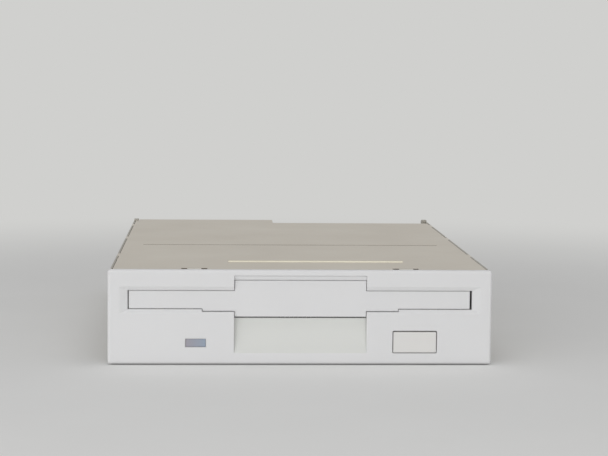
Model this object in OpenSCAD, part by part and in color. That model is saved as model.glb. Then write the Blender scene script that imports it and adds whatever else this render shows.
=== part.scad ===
// Slot-loading floppy disk drive for 3.5 inch disks, one inch high, with its whole mechanism.
// Millimetres. The bezel faces -Y and +Z is up. The origin lies on the resting plane under the middle.

/* [Overall] */
// Width of the front bezel
bezel_width = 101.6; // [101.2:0.1:104]
// Height over the chassis's rear ears
overall_height = 25.4; // [25.4:0.1:27]
// Depth from the bezel face to the rear of the data header
overall_depth = 148; // [147:0.5:165]

/* [Front bezel] */
// How far the bezel's top lies below the rear ears
bezel_drop = 0.25; // [0.2:0.05:0.4]
// Depth of the bezel with its rim
bezel_depth = 5; // [4.5:0.1:6]
// Thickness of the bezel's front wall
bezel_wall = 2.4; // [2:0.1:2.6]
// Thickness of the rim behind the front wall
bezel_rim = 1.6; // [1.2:0.1:2]
// Depth of the bezel's lip in front of the cover
bezel_lip = 1.2; // [1:0.1:1.5]
// Rounding of the bezel's front edges
edge_radius = 0.7; // [0.3:0.1:1]
// Rounding of the bezel's four corners
corner_radius = 1; // [0.5:0.1:2]
// Width of the bezel beyond each end of the disk slot
slot_margin = 5.3; // [4.8:0.1:5.4]
// Height of the disk slot
slot_height = 5; // [4.6:0.1:5.2]
// Width of the slightly deeper middle of the slot
slot_dip_width = 52; // [40:1:60]
// Extra depth of the slot's middle, downwards
slot_dip = 0.65; // [0.2:0.05:0.8]
// Width of the bevel at the slot's ends
slot_bevel_end = 2.2; // [1:0.1:3]
// Width of the bevel along the slot's long edges
slot_bevel_edge = 1.1; // [0.8:0.1:2]
// Depth of the bevel round the slot
slot_bevel_depth = 0.6; // [0.5:0.05:0.8]
// Width of the door's middle opening and of both recesses
middle_width = 35; // [30:0.5:40]
// Height of the lower edge of the middle opening
middle_floor = 12.2; // [11.8:0.1:12.3]
// Height of the upper edge of the middle opening
middle_top = 22.35; // [22.2:0.05:22.6]
// Height where the shallow recess above the door meets the face
upper_recess_top = 23.6; // [23.3:0.1:24.2]
// Depth of that recess at its top edge
upper_recess_step = 0.5; // [0.3:0.1:0.6]
// Depth of that recess at the door
upper_recess_depth = 0.8; // [0.7:0.1:1.2]
// Height where the finger recess meets the face
finger_recess_floor = 3; // [2.6:0.1:5]
// Depth of the finger recess below the door
finger_recess_depth = 2; // [1.5:0.1:2.2]
// Width of each light tab on the bezel's top edge
top_tab_width = 3.7; // [3:0.1:5]
// Distance of each top tab from the side of the bezel
top_tab_inset = 22.7; // [18.8:0.1:26.8]
// Length of each top tab behind the lip
top_tab_length = 2.4; // [2:0.1:3]
// Width of the open slit on each side of a top tab
top_tab_slit = 1.6; // [1.2:0.1:2]

/* [Door] */
// Thickness of the door
door_thickness = 1.5; // [1.2:0.1:1.6]
// Setback of the closed door from the bezel face
door_setback = 0.8; // [0.7:0.05:1]
// Gap between the door and the slot's ends
door_end_gap = 0.4; // [0.3:0.05:0.6]
// How far the door's wings are set to the left in the slot
door_shift = 0.15; // [0:0.05:0.2]
// Gap above and below the door's wings
door_edge_gap = 0.12; // [0.1:0.02:0.3]
// Gap below the door's middle
door_floor_gap = 0.4; // [0.35:0.05:0.8]
// Gap at the sides and top of the door's middle
door_middle_gap = 0.1; // [0.1:0.05:0.3]
// Radius of the door's hinge pins
door_pin_r = 0.7; // [0.6:0.05:0.8]
// Distance of the door's hinge axis behind the bezel face
door_axis_y = 3.6; // [3.5:0.05:3.8]
// Height of the door's hinge axis
door_axis_z = 21.3; // [21.2:0.05:21.5]

/* [Button and lamp] */
// Distance of the eject button's centre from the side of the bezel
button_inset = 20.45; // [19.05:0.1:22.55]
// Height of the eject button's centre
button_z = 5.9; // [5.6:0.1:6.2]
// Width of the eject button
button_width = 11.4; // [9:0.1:12]
// Height of the eject button
button_height = 5.6; // [5:0.1:5.8]
// Depth of the eject button
button_depth = 8; // [7:0.5:9]
// Gap round the eject button
button_gap = 0.2; // [0.2:0.05:0.35]
// How far the eject button hangs below the middle of its opening
button_sag = 0.08; // [0:0.02:0.1]
// Distance of the lamp window's centre from the other side of the bezel
lamp_inset = 23.15; // [20.8:0.05:25.8]
// Height of the lamp window's centre
lamp_z = 5.7; // [5.2:0.1:6]
// Width of the lamp window
lamp_width = 5.4; // [4:0.1:7]
// Height of the lamp window
lamp_height = 2.2; // [2:0.1:3]

/* [Chassis and cover] */
// How far the bezel overhangs the chassis on each side
bezel_overhang = 0.6; // [0.4:0.1:1]
// Thickness of the die-cast side walls
wall = 1.5; // [1.3:0.1:1.6]
// Height of the base plate's underside
base_floor = 6.6; // [6.6:0.1:6.7]
// Thickness of the base plate
base_thickness = 1; // [0.9:0.05:1]
// Thickness of the cover sheet
cover_thickness = 0.6; // [0.5:0.1:0.8]
// How far the cover's top lies below the bezel's top
cover_drop = 0.2; // [0.15:0.05:0.4]
// Gap between the cover's edges and what stands round them
cover_gap = 0.15; // [0.1:0.05:0.25]
// Width of the side walls' lip beside the cover
wall_lip = 0.5; // [0.4:0.05:0.7]
// Distance of the cover's cross groove from the bezel face
groove_y = 64.5; // [50:0.5:80]
// Distance of the cross groove's ends from the cover's sides
groove_margin = 5.6; // [3:0.1:18]
// Distance of the cover's bead from the bezel face
bead_y = 20; // [16:0.5:30]
// Length of the cover's bead
bead_length = 48; // [30:1:60]
// Setback of the cover's cut corner over the data header
rear_cut = 12; // [11:0.5:14]

/* [Mounting holes] */
// Thread core radius of the M3 mounting holes
mount_hole_r = 1.25; // [1.2:0.05:1.3]
// Height of the side mounting holes
side_hole_z = 5; // [4.9:0.05:5.05]
// Distance of the first side hole behind the bezel face
side_hole_y = 21; // [20:0.5:23]
// Distance between two side holes, and between two bottom holes front to back
hole_pitch = 70; // [68:0.5:72]
// Distance of the first bottom hole behind the bezel face
bottom_hole_y = 31; // [29:0.5:33]
// Distance of the bottom holes from the inner faces of the side walls
bottom_hole_inset = 3.7; // [3.45:0.05:4.7]

/* [Disk lift] */
// Play of the disk in the slot, both ends together
disk_play = 1; // [0.9:0.1:1.4]
// Height of the loaded disk's underside
disk_seat = 12; // [11.9:0.05:12.1]
// How far the holder lifts the disk
holder_lift = 2.6; // [2.5:0.05:2.7]
// Height inside the disk holder
holder_room = 4.4; // [4.3:0.05:4.5]
// Thickness of the holder's sheet
holder_sheet = 0.6; // [0.5:0.05:0.7]
// Distance of the holder's front edge from the bezel face
holder_front = 12.8; // [12.6:0.1:14]
// How far the holder reaches behind the outermost track
holder_reach = 7.5; // [7:0.5:8.5]
// Radius of the holder pins
holder_pin_r = 1; // [0.8:0.05:1.1]
// Distance of the front holder pins from the bezel face
holder_pin_y = 28; // [27:0.5:29]
// Distance of the rear holder pins from the holder's rear edge
holder_pin_inset = 12; // [10:1:16]
// Travel of the eject button and slide plate
eject_travel = 5.5; // [5:0.1:5.8]
// Thickness of the slide plate's sheet
slide_sheet = 0.7; // [0.6:0.05:0.8]
// Gap between the holder's top and the slide plate
slide_gap = 0.7; // [0.6:0.05:0.8]

/* [Spindle] */
// Distance of the spindle in front of the middle of the drive
spindle_forward = 17; // [16.5:0.1:17.5]
// Radius of the spindle shaft
shaft_r = 2; // [1.8:0.1:2.2]
// Outer radius of the rotor cup
rotor_r = 20.5; // [19:0.1:20.6]
// Radius of the hub that carries the disk's centre plate
hub_r = 12.5; // [11.5:0.1:13]
// Number of stator teeth and coils
stator_teeth = 12; // [9:3:15]

/* [Heads] */
// Radius of the outermost track
outer_track_r = 39.5; // [39.3:0.1:39.7]
// Radius of the guide rod
rod_r = 1.2; // [1.1:0.05:1.3]
// Distance of the guide rod from the middle
rod_x = 14; // [13.5:0.1:14.3]
// Height of the guide rod and the lead screw
rod_z = 9.7; // [9.6:0.05:9.8]
// Radius of the lead screw
screw_r = 1.5; // [1.3:0.05:1.6]
// Distance of the lead screw from the middle, on the other side
screw_x = 15; // [14.8:0.1:16]
// Radius of the stepper can
stepper_r = 7.5; // [6.5:0.1:7.6]
// Length of the stepper can
stepper_length = 15.5; // [13:0.5:16]
// Angle by which the raised upper arm stands up
arm_lift_angle = 11; // [10.5:0.1:11.5]

/* [Rear connectors] */
// Number of pin columns in the data header
header_columns = 17; // [10:1:17]
// Pitch of the data header's pins
header_pitch = 2.54; // [2.5:0.01:2.54]
// Gap between the data header and the side wall next to it
header_inset = 4.3; // [4:0.1:5.5]
// Pitch of the power connector's pins
power_pitch = 2.5; // [2.3:0.1:2.54]
// Gap between the power connector and the side wall next to it
power_inset = 8; // [6:0.5:10]

/* [Fits] */
// Radial clearance of running fits
running_fit = 0.05; // [0.02:0.01:0.08]
// Radial clearance of pins in the lift's slots
slot_fit = 0.15; // [0.1:0.01:0.2]
// Clearance of pieces that are seated in a pocket
seat_fit = 0.05; // [0.02:0.01:0.1]

/* [Hidden] */
$fn = 48;

// Small overlap that lets a cut break through a face
cut = 0.5;

// Outer form
half_bezel = bezel_width / 2;
top_tab_x = half_bezel - top_tab_inset;
button_x = half_bezel - button_inset;
button_corner = 0.25;
lamp_x = half_bezel - lamp_inset;
wall_outer = half_bezel - bezel_overhang;
wall_inner = wall_outer - wall;
bezel_height = overall_height - bezel_drop;
body_top = bezel_height - cover_drop;
cover_under = body_top - cover_thickness;
cover_half = wall_outer - wall_lip - cover_gap;
cover_flange_half = wall_inner - 0.3;
cover_front = bezel_lip + cover_gap;
cover_rear = overall_depth - 1;
ear_y = [cover_rear - 4.2, cover_rear - 1.6];
rim_top = cover_under - 0.1;
top_notch_half = top_tab_width / 2 + top_tab_slit;
base_top = base_floor + base_thickness;
base_front = 14;
base_rear = overall_depth - rear_cut;
cover_tab_length = 6;
bead_x = 5;
bottom_hole_x = wall_inner - bottom_hole_inset;

// Side clips that hold the bezel in the chassis
clip_gap = 0.3;
clip_x = [wall_inner - 1.5, wall_inner - clip_gap];
clip_z = [9, 16];
clip_end = bezel_depth + 7;
clip_lug_y = [clip_end - 2, clip_end];
clip_lug_z = [clip_z[0] + 1.5, clip_z[1] - 1.5];

// Spindle and outermost track, placed from the middle of the drive
spindle_y = overall_depth / 2 - spindle_forward;
head_y = spindle_y + outer_track_r;

// Slot and door
slot_floor = disk_seat + holder_lift;
slot_top = slot_floor + slot_height;
slot_half = half_bezel - slot_margin;
middle_half = middle_width / 2;
door_y = [door_setback, door_setback + door_thickness];
door_half = slot_half - door_end_gap;
door_wing_z = [slot_floor + door_edge_gap, slot_top - door_edge_gap];
door_ear_x = [door_half - 1.8, door_half - 0.3];
door_boss_x = [door_ear_x[1] + 1.5, door_ear_x[1] + 3.7];
door_pin_x = [door_ear_x[0], door_boss_x[1] - 0.4];
door_boss_half = 1.4;
recess_back = bezel_wall + 1;

// Disk lift
holder_rear = head_y + holder_reach;
holder_inner = slot_half - disk_play / 2 + 0.3;
holder_outer = holder_inner + holder_sheet;
holder_top = slot_floor + holder_room + holder_sheet;
holder_pin_z = slot_floor + 2.4;
holder_pin_ys = [holder_pin_y, holder_rear - holder_pin_inset];
cover_tab_ys = [34, holder_pin_ys[1] - 10, base_rear - 12];
slide_z = [holder_top + slide_gap, holder_top + slide_gap + slide_sheet];
slide_flange_x = [holder_outer + 1.1, holder_outer + 1.1 + slide_sheet];
slide_front = holder_front + eject_travel + 0.4;
slide_rear = holder_rear + 14;
tongue_z = [base_top + 1.5, base_top + 1.5 + slide_sheet];
tongue_y = [29, 34];
tongue_half = 2.75;
tongue_bend = 10.3;
button_pocket = 3;
spring_x = slide_flange_x[0] - 3;
spring_z = slide_z[1] + 1.4;
spring_lug_y = [19, 20.2];
spring_hook_y = [51, 52];

// Latch lever, hinged behind the holder's left rear corner
latch_x = -holder_inner + 7.3;
latch_y = holder_rear + 10;
latch_z = [disk_seat + 3, disk_seat + 4];
latch_post_r = 1.5;
latch_hub_r = 3.2;
latch_tip = [16, -20];
latch_tip_r = 1.5;
latch_pin_r = 1.2;
latch_pin_arm = 7;
latch_swing = 30;

// Sensing switches under the disk's front corners
switch_ys = [15, 22];
switch_half = 3;
switch_z = [base_top, disk_seat - 1];
plunger_y = 18.5;
plunger_r = 1;
plunger_tip = disk_seat + 1.1;
density_x = holder_inner - 7.8;
write_x = -density_x;
disk_switch_x = write_x + 2 * switch_half + 2;

// Clamps of the guide rod
rod_y = [head_y - 19, base_rear - 1];
clamp_ys = [head_y - 18.5, base_rear - 4.5];
clamp_length = 3.2;
clamp_screw_points = [for (y = clamp_ys) [rod_x + 5.2, y + clamp_length / 2]];

// Spindle motor
motor_board_z = [base_top, base_top + 0.8];
motor_board_half = slide_flange_x[0] - 13;
motor_board_y = [switch_ys[1] + 3, clamp_ys[0] - 2];
bearing_r = 4.5;
bearing_flange_r = 7;
bearing_z = [base_floor - 1.2, motor_board_z[1] + 1.6];
stator_z = [motor_board_z[1], motor_board_z[1] + 1.4];
hub_z = [disk_seat - 0.8, disk_seat + 0.6];
rotor_sheet = 0.6;
rotor_top = hub_z[0];
rotor_floor = rotor_top - 2.4;
magnet_thickness = 3;
magnet_r = [rotor_r - rotor_sheet - magnet_thickness, rotor_r - rotor_sheet];
tooth_end_r = magnet_r[0] - 0.4;
motor_screw_x = [motor_board_half - 14, motor_board_half - 4];
motor_screw_y = [motor_board_y[0] + 4, motor_board_y[1] - 5];
motor_screws = [for (side = [-1, 1], end = [0, 1]) [side * motor_screw_x[end], motor_screw_y[end]]];
spigot_r = 6;
drive_pin_r = 1.2;
drive_pin_at = hub_r - 3;

// Head carriage at the outermost track, and the arm hinged at its rear
head_face = disk_seat + 1.6;
carriage_z = [base_top + 0.6, disk_seat - 0.3];
carriage_x = [-screw_x + screw_r + 2, rod_x + 3.8];
carriage_y = [head_y + 7.5, base_rear - 11];
nose_half = 6.5;
nose_y = [head_y - 3.5, carriage_y[0]];
arm_axis_y = carriage_y[1] - 4;
arm_axis_z = disk_seat + 5;
arm_pin_r = 0.8;
arm_half = 6.5;
tower_x = [7, 9];
tower_y = [arm_axis_y - 2.3, carriage_y[1]];
arm_z = [arm_axis_z - 1.4, arm_axis_z + 0.2];
window_half = 14;
window_front = head_y - 20.5;
lifter_x = [window_half + 0.5, window_half + 4.5];
lifter_rear = head_y + 13.5;
arm_tab_y = [head_y + 9.5, head_y + 12.3];
tab_z = [0.6, 1.6];
head_air = 0.3;
follower_r = 0.5;
follower_y = carriage_y[0] + 1.4;
vane_x = 23.5;
vane_y = [carriage_y[1] - 8.5, carriage_y[1] - 5.5];
vane_z = [rod_z, rod_z + 0.7];

// Window under the carriage, lead screw and stepper motor
base_window_x = [-9.5, 19.5];
base_window_y = [head_y - 14.5, base_rear - 5];
bracket_sheet = 0.8;
bracket_z = [base_top, base_top + bracket_sheet];
bracket_y = [head_y - 14.5, base_rear - 8];
bracket_x = [-screw_x - 6, -screw_x - screw_r - 0.6];
stepper_y = [bracket_y[1], bracket_y[1] + stepper_length];
screw_tip_r = 0.8;
tip_bush_r = 1.5;
stepper_clear = 1.2;
bracket_screw_points = [[bracket_x[0] - 3, bracket_y[0] + 6], [bracket_x[0] - 3, bracket_y[1] - 8]];

// Boards and rear connectors
main_board_z = [3, 4.6];
main_board_half = wall_inner - 5.7;
main_board_y = [holder_rear - 6, overall_depth - 2];
standoffs = [for (side = [-1, 1], y = [holder_rear, base_rear - 4]) [side * (main_board_half - 4), y]];
standoff_r = 2.6;
small_screw_r = 1.2;
screw_head_r = 2.2;
flex_socket_y = [holder_rear + 6, holder_rear + 12];
controller_at = [rod_x, flex_socket_y[0] + 8];
amplifier_at = [-rod_x, flex_socket_y[0] + 2];
header_y = [overall_depth - 9, overall_depth];
header_half = header_columns * header_pitch / 2 + 1.8;
header_x = wall_inner - header_inset - header_half;
header_z = [main_board_z[1], main_board_z[1] + 9];
header_wall = 1;
pin_half = 0.32;
power_y = [overall_depth - 9.5, overall_depth - 0.8];
power_half = 2 * power_pitch + 0.9;
power_x = wall_inner - power_inset - power_half;
power_z = [main_board_z[1], main_board_z[1] + 6.6];

// A box between two limits on each axis
module box(x, y, z) {
    translate([x[0], y[0], z[0]])
        cube([x[1] - x[0], y[1] - y[0], z[1] - z[0]]);
}

// Round bars along each axis
module bar_x(r, x, y, z) {
    translate([x[0], y, z]) rotate([0, 90, 0]) cylinder(r = r, h = x[1] - x[0]);
}
module bar_y(r, x, y, z) {
    translate([x, y[0], z]) rotate([-90, 0, 0]) cylinder(r = r, h = y[1] - y[0]);
}
module bar_z(r, x, y, z) {
    translate([x, y, z[0]]) cylinder(r = r, h = z[1] - z[0]);
}

// Flat outlines stood up as plates: seen from the front, from the side and from above
module front_plate(y) {
    translate([0, y[1], 0]) rotate([90, 0, 0]) linear_extrude(y[1] - y[0]) children();
}
module side_plate(x) {
    translate([x[0], 0, 0]) rotate([90, 0, 90]) linear_extrude(x[1] - x[0]) children();
}
module flat_plate(z) {
    translate([0, 0, z[0]]) linear_extrude(z[1] - z[0]) children();
}

// A rectangle, plain and with round corners
module rect(u, v) {
    translate([u[0], v[0]]) square([u[1] - u[0], v[1] - v[0]]);
}
module round_rect(u, v, r) {
    rect([u[0] + r, u[1] - r], v);
    rect(u, [v[0] + r, v[1] - r]);
    for (a = [u[0] + r, u[1] - r], b = [v[0] + r, v[1] - r])
        translate([a, b]) circle(r);
}

// A slot with round ends from one point to another
module long_slot(from, to, r) {
    way = to - from;
    translate(from) rotate(atan2(way[1], way[0])) {
        translate([0, -r]) square([norm(way), 2 * r]);
        circle(r);
        translate([norm(way), 0]) circle(r);
    }
}

// An outline whose two front corners are round, for the bezel's edges
module nose_outline(depth, v, r) {
    rect([r, depth], v);
    rect([0, depth], [v[0] + r, v[1] - r]);
    for (b = [v[0] + r, v[1] - r])
        translate([r, b]) circle(r);
}

// The same piece on both sides of the drive
module both_sides() {
    children();
    mirror([1, 0, 0]) children();
}

// Moves from bezel face coordinates to the part's own origin
module placed() {
    translate([0, -overall_depth / 2, 0]) children();
}

// A pan head screw through a plate, its head on the side that dir points to
module pan_screw(x, y, seat, length, dir) {
    translate([x, y, seat]) mirror([0, 0, dir < 0 ? 1 : 0]) {
        difference() {
            cylinder(r = screw_head_r, h = 1.2);
            for (turn = [0, 90])
                rotate(turn) translate([-1.2, -0.2, 0.6]) cube([2.4, 0.4, 1]);
        }
        translate([0, 0, -length]) cylinder(r = small_screw_r, h = length);
    }
}

// Lead-in bevel round the slot, wide at the face and narrow at the door
module slot_bevel() {
    intersection() {
        side_plate([-half_bezel, half_bezel])
            polygon([
                [0, slot_floor - slot_bevel_edge],
                [slot_bevel_depth, slot_floor],
                [slot_bevel_depth, slot_top],
                [0, slot_top + slot_bevel_edge]
            ]);
        flat_plate([0, bezel_height])
            polygon([
                [-slot_half - slot_bevel_end, 0],
                [slot_half + slot_bevel_end, 0],
                [slot_half, slot_bevel_depth],
                [-slot_half, slot_bevel_depth]
            ]);
    }
}

// Scooped recess for the fingertip, deepest under the door and running out to the face below
module finger_recess() {
    rise = middle_floor - finger_recess_floor;
    scoop_r = (rise * rise + finger_recess_depth * finger_recess_depth) / (2 * finger_recess_depth);
    intersection() {
        bar_x(scoop_r, [-middle_half, middle_half], finger_recess_depth - scoop_r, middle_floor);
        box([-middle_half, middle_half], [-cut, finger_recess_depth + cut],
            [finger_recess_floor, middle_floor + cut]);
    }
}

// Shallow recess above the door's middle: a step under its top edge and a nearly upright back
module upper_recess() {
    step_drop = 0.2;
    side_plate([-middle_half, middle_half])
        polygon([
            [-cut, upper_recess_top],
            [0, upper_recess_top],
            [upper_recess_step, upper_recess_top - step_drop],
            [upper_recess_depth, middle_top],
            [-cut, middle_top]
        ]);
}

// Room behind a lower edge of the door, hollowed round the hinge so that the edge swings clear
module door_swing_room(half, edge_z) {
    swing_r = norm([door_axis_y - door_setback, door_axis_z - edge_z]);
    intersection() {
        bar_x(swing_r + door_edge_gap, [-half, half], door_axis_y, door_axis_z);
        box([-half, half], [door_setback, bezel_depth], [edge_z - 2, edge_z + 1]);
    }
}

// Moulded front with the slot, the recesses, the lamp window and the button's opening.
// Bosses carry the door, tabs hook over the chassis and two side clips snap into its walls.
module front_bezel() {
    lug_x = [clip_x[0], wall_outer - 0.4];
    color("gainsboro") placed() {
        difference() {
            union() {
                difference() {
                    intersection() {
                        front_plate([0, bezel_depth])
                            round_rect([-half_bezel, half_bezel], [0, bezel_height], corner_radius);
                        side_plate([-half_bezel, half_bezel])
                            nose_outline(bezel_depth, [0, bezel_height], edge_radius);
                        flat_plate([0, bezel_height])
                            mirror([1, -1])
                            nose_outline(bezel_depth, [-half_bezel, half_bezel], edge_radius);
                    }
                    box([-half_bezel + bezel_rim, half_bezel - bezel_rim],
                        [bezel_wall, bezel_depth + cut],
                        [bezel_rim, bezel_height - bezel_rim]);
                    box([-half_bezel - cut, half_bezel + cut], [bezel_lip, bezel_depth + cut],
                        [rim_top, bezel_height + cut]);
                }
                box([-middle_half - 1.2, middle_half + 1.2], [bezel_wall, recess_back],
                    [bezel_rim, middle_floor]);
                both_sides() {
                    box(door_boss_x, [bezel_wall, door_axis_y + door_boss_half],
                        [door_axis_z - door_boss_half, bezel_height - bezel_rim]);
                    box(clip_x, [bezel_wall, clip_end], clip_z);
                    box([clip_x[0], half_bezel - bezel_rim], [bezel_wall, bezel_depth], clip_z);
                    box(lug_x, clip_lug_y, clip_lug_z);
                    box([top_tab_x - top_tab_width / 2, top_tab_x + top_tab_width / 2],
                        [bezel_lip - cut / 2, bezel_lip + top_tab_length], [rim_top - cut, body_top + 0.15]);
                }
            }
            slot_bevel();
            box([-slot_half, slot_half], [-cut, bezel_depth], [slot_floor, slot_top]);
            box([-slot_dip_width / 2, slot_dip_width / 2], [-cut, bezel_depth],
                [slot_floor - slot_dip, slot_top]);
            box([-middle_half, middle_half], [-cut, bezel_depth], [middle_floor, middle_top]);
            door_swing_room(slot_half, door_wing_z[0]);
            door_swing_room(slot_dip_width / 2, door_wing_z[0] - slot_dip);
            door_swing_room(middle_half, middle_floor + door_floor_gap);
            finger_recess();
            upper_recess();
            both_sides() for (side = [-1, 1])
                translate([top_tab_x + side * (top_tab_width + top_tab_slit) / 2, 0, 0])
                    box([-top_tab_slit / 2, top_tab_slit / 2], [bezel_wall, bezel_depth + cut],
                        [bezel_height - bezel_rim - cut, bezel_height + cut]);
            front_plate([-cut, bezel_depth])
                round_rect(
                    [button_x - button_width / 2 - button_gap, button_x + button_width / 2 + button_gap],
                    [button_z + button_sag - button_height / 2 - button_gap,
                        button_z + button_sag + button_height / 2 + button_gap],
                    button_corner + button_gap / 2);
            box([-lamp_x - lamp_width / 2, -lamp_x + lamp_width / 2], [-cut, bezel_depth],
                [lamp_z - lamp_height / 2, lamp_z + lamp_height / 2]);
            both_sides()
                bar_x(door_pin_r + running_fit, [door_boss_x[0] - cut, door_boss_x[1]],
                    door_axis_y, door_axis_z);
            box([-door_boss_x[0], -door_ear_x[1]], [bezel_wall - 0.5, bezel_depth],
                [door_axis_z - 2, door_axis_z + 2]);
        }
    }
}

// Hinged flap: two wings close the slot and a taller middle panel meets the recesses
module slot_door() {
    dip_half = slot_dip_width / 2 - door_middle_gap;
    color("whitesmoke") placed() {
        front_plate(door_y) {
            rect([-door_half - door_shift, door_half - door_shift], door_wing_z);
            rect([-dip_half, dip_half], [door_wing_z[0] - slot_dip, door_wing_z[1]]);
            rect([-middle_half + door_middle_gap, middle_half - door_middle_gap],
                [middle_floor + door_floor_gap, middle_top - door_middle_gap]);
        }
        both_sides() {
            side_plate(door_ear_x)
                long_slot([door_axis_y, door_wing_z[0] + 3], [door_axis_y, door_axis_z], door_pin_r + 0.2);
            box(door_ear_x, [door_y[1], door_axis_y], [door_wing_z[0] + 2, door_wing_z[1]]);
            bar_x(door_pin_r, door_pin_x, door_axis_y, door_axis_z);
        }
    }
}

// Torsion spring on the door's left hinge pin, hidden behind the bezel wall
module door_spring() {
    color("silver") placed() difference() {
        bar_x(door_pin_r + 0.6, [-door_boss_x[0] + 0.1, -door_ear_x[1] - 0.3], door_axis_y, door_axis_z);
        bar_x(door_pin_r + 0.12, [-door_boss_x[0], -door_ear_x[1]], door_axis_y, door_axis_z);
    }
}

// Hollow push button that sits on the slide plate's tongue
module eject_button() {
    color("gainsboro") placed() difference() {
        intersection() {
            front_plate([0, button_depth])
                round_rect([button_x - button_width / 2, button_x + button_width / 2],
                    [button_z - button_height / 2, button_z + button_height / 2], button_corner);
            side_plate([button_x - button_width, button_x + button_width])
                nose_outline(button_depth, [button_z - button_height / 2, button_z + button_height / 2], 0.3);
        }
        box([button_x - tongue_half - seat_fit, button_x + tongue_half + seat_fit],
            [button_pocket, button_depth + cut],
            [button_z - slide_sheet / 2 - seat_fit, button_z + slide_sheet / 2 + seat_fit]);
        for (side = [-1, 1])
            translate([button_x + side * (tongue_half + 1.4), button_depth / 2 + 1, button_z])
                cube([1.6, button_depth - 1.9, button_height - 1.6], center = true);
    }
}

// Clear window with a flange that stops it behind the bezel wall
module lamp_lens() {
    half_w = lamp_width / 2 - seat_fit;
    half_h = lamp_height / 2 - seat_fit;
    color("slategray") placed() {
        box([-lamp_x - half_w, -lamp_x + half_w], [0.15, bezel_wall + 1.2],
            [lamp_z - half_h, lamp_z + half_h]);
        box([-lamp_x - half_w - 0.8, -lamp_x + half_w + 0.8], [bezel_wall, bezel_wall + 1.2],
            [lamp_z - half_h - 0.8, lamp_z + half_h + 0.8]);
    }
}

// Activity lamp and the holder that clips it under the front of the base plate
module lamp_holder() {
    lamp_r = 1.1;
    color("darkolivegreen") placed() {
        difference() {
            box([-lamp_x - 2.6, -lamp_x + 2.6], [bezel_wall + 2.6, base_front + 4],
                [lamp_z - 1.6, base_floor]);
            box([-lamp_x - 1.4, -lamp_x + 1.4], [bezel_wall + 5.6, base_front + 4 + cut],
                [lamp_z - 1.6 - cut, lamp_z]);
        }
        bar_y(lamp_r, -lamp_x, [bezel_wall + 2.4, bezel_wall + 3], lamp_z - 0.3);
        translate([-lamp_x, bezel_wall + 2.4, lamp_z - 0.3]) sphere(lamp_r);
    }
}

// Die-cast frame: side walls, raised base plate, tapped mounting bosses, bottom lugs and rear ears
module chassis_frame() {
    boss_r = 3.2;
    boss_x = [wall_inner - 2, wall_outer];
    lug_half = 4.2;
    lug_z = [0, 1.6];
    side_hole_ys = [side_hole_y, side_hole_y + hole_pitch];
    bottom_hole_ys = [bottom_hole_y, bottom_hole_y + hole_pitch];
    color("darkgray") placed() difference() {
        union() {
            both_sides() {
                side_plate([wall_inner, wall_outer]) {
                    rect([bezel_depth, cover_rear], [0, body_top]);
                    rect(ear_y, [body_top - cut, overall_height]);
                }
                for (y = side_hole_ys) {
                    bar_x(boss_r, boss_x, y, side_hole_z);
                    box([boss_x[0], wall_inner], [y - boss_r, y + boss_r], [side_hole_z, base_floor]);
                }
                for (y = bottom_hole_ys)
                    flat_plate(lug_z) {
                        rect([bottom_hole_x, wall_inner], [y - lug_half, y + lug_half]);
                        translate([bottom_hole_x, y]) circle(lug_half);
                    }
                box([spring_x - 1.2, wall_inner], spring_lug_y, [slide_z[1] + 0.4, spring_z + 1.2]);
            }
            flat_plate([base_floor, base_top])
                rect([-wall_inner, wall_inner], [base_front, base_rear]);
            for (p = standoffs)
                bar_z(standoff_r, p[0], p[1], [main_board_z[1], base_floor + cut]);
            both_sides()
                box([wall_inner - 3, wall_inner], [base_front, base_rear], [base_floor - 0.8, base_floor]);
        }
        both_sides() {
            for (y = side_hole_ys)
                bar_x(mount_hole_r, [boss_x[0] - cut, wall_outer + cut], y, side_hole_z);
            for (y = bottom_hole_ys)
                bar_z(mount_hole_r, bottom_hole_x, y, [lug_z[0] - cut, lug_z[1] + cut]);
            for (y = holder_pin_ys)
                side_plate([wall_inner - cut, wall_outer + cut])
                    long_slot([y, holder_pin_z - holder_lift], [y, body_top + 2], holder_pin_r + slot_fit);
            box([wall_inner - cut, wall_outer - wall_lip], [bezel_depth - cut, ear_y[0] - cover_gap],
                [cover_under, body_top + cut]);
            for (y = cover_tab_ys)
                box([wall_inner - cut, wall_outer + cut], [y - cover_gap, y + cover_tab_length + cover_gap],
                    [cover_under, body_top + cut]);
            box([wall_inner - cut, wall_outer + cut], clip_lug_y + [-clip_gap, clip_gap],
                clip_lug_z + [-clip_gap, clip_gap]);
        }
        bar_z(bearing_r + seat_fit, 0, spindle_y, [base_floor - cut, base_top + cut]);
        flat_plate([base_floor - cut, base_top + cut]) {
            rect(base_window_x, base_window_y);
            rect([-screw_x - stepper_r - stepper_clear, -screw_x + stepper_r + stepper_clear],
                [stepper_y[0], base_rear + cut]);
        }
        for (p = motor_screws)
            bar_z(small_screw_r + seat_fit, p[0], p[1], [base_floor - cut, base_top + cut]);
        for (p = standoffs)
            bar_z(small_screw_r + seat_fit, p[0], p[1], [main_board_z[1] - cut, base_top + cut]);
        for (p = bracket_screw_points)
            bar_z(small_screw_r + seat_fit, p[0], p[1], [base_floor - cut, base_top + cut]);
        for (p = clamp_screw_points)
            bar_z(small_screw_r + seat_fit, p[0], p[1], [base_floor - cut, base_top + cut]);
        bar_z(latch_post_r + seat_fit, latch_x, latch_y, [base_floor - cut, base_top + cut]);
    }
}

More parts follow.
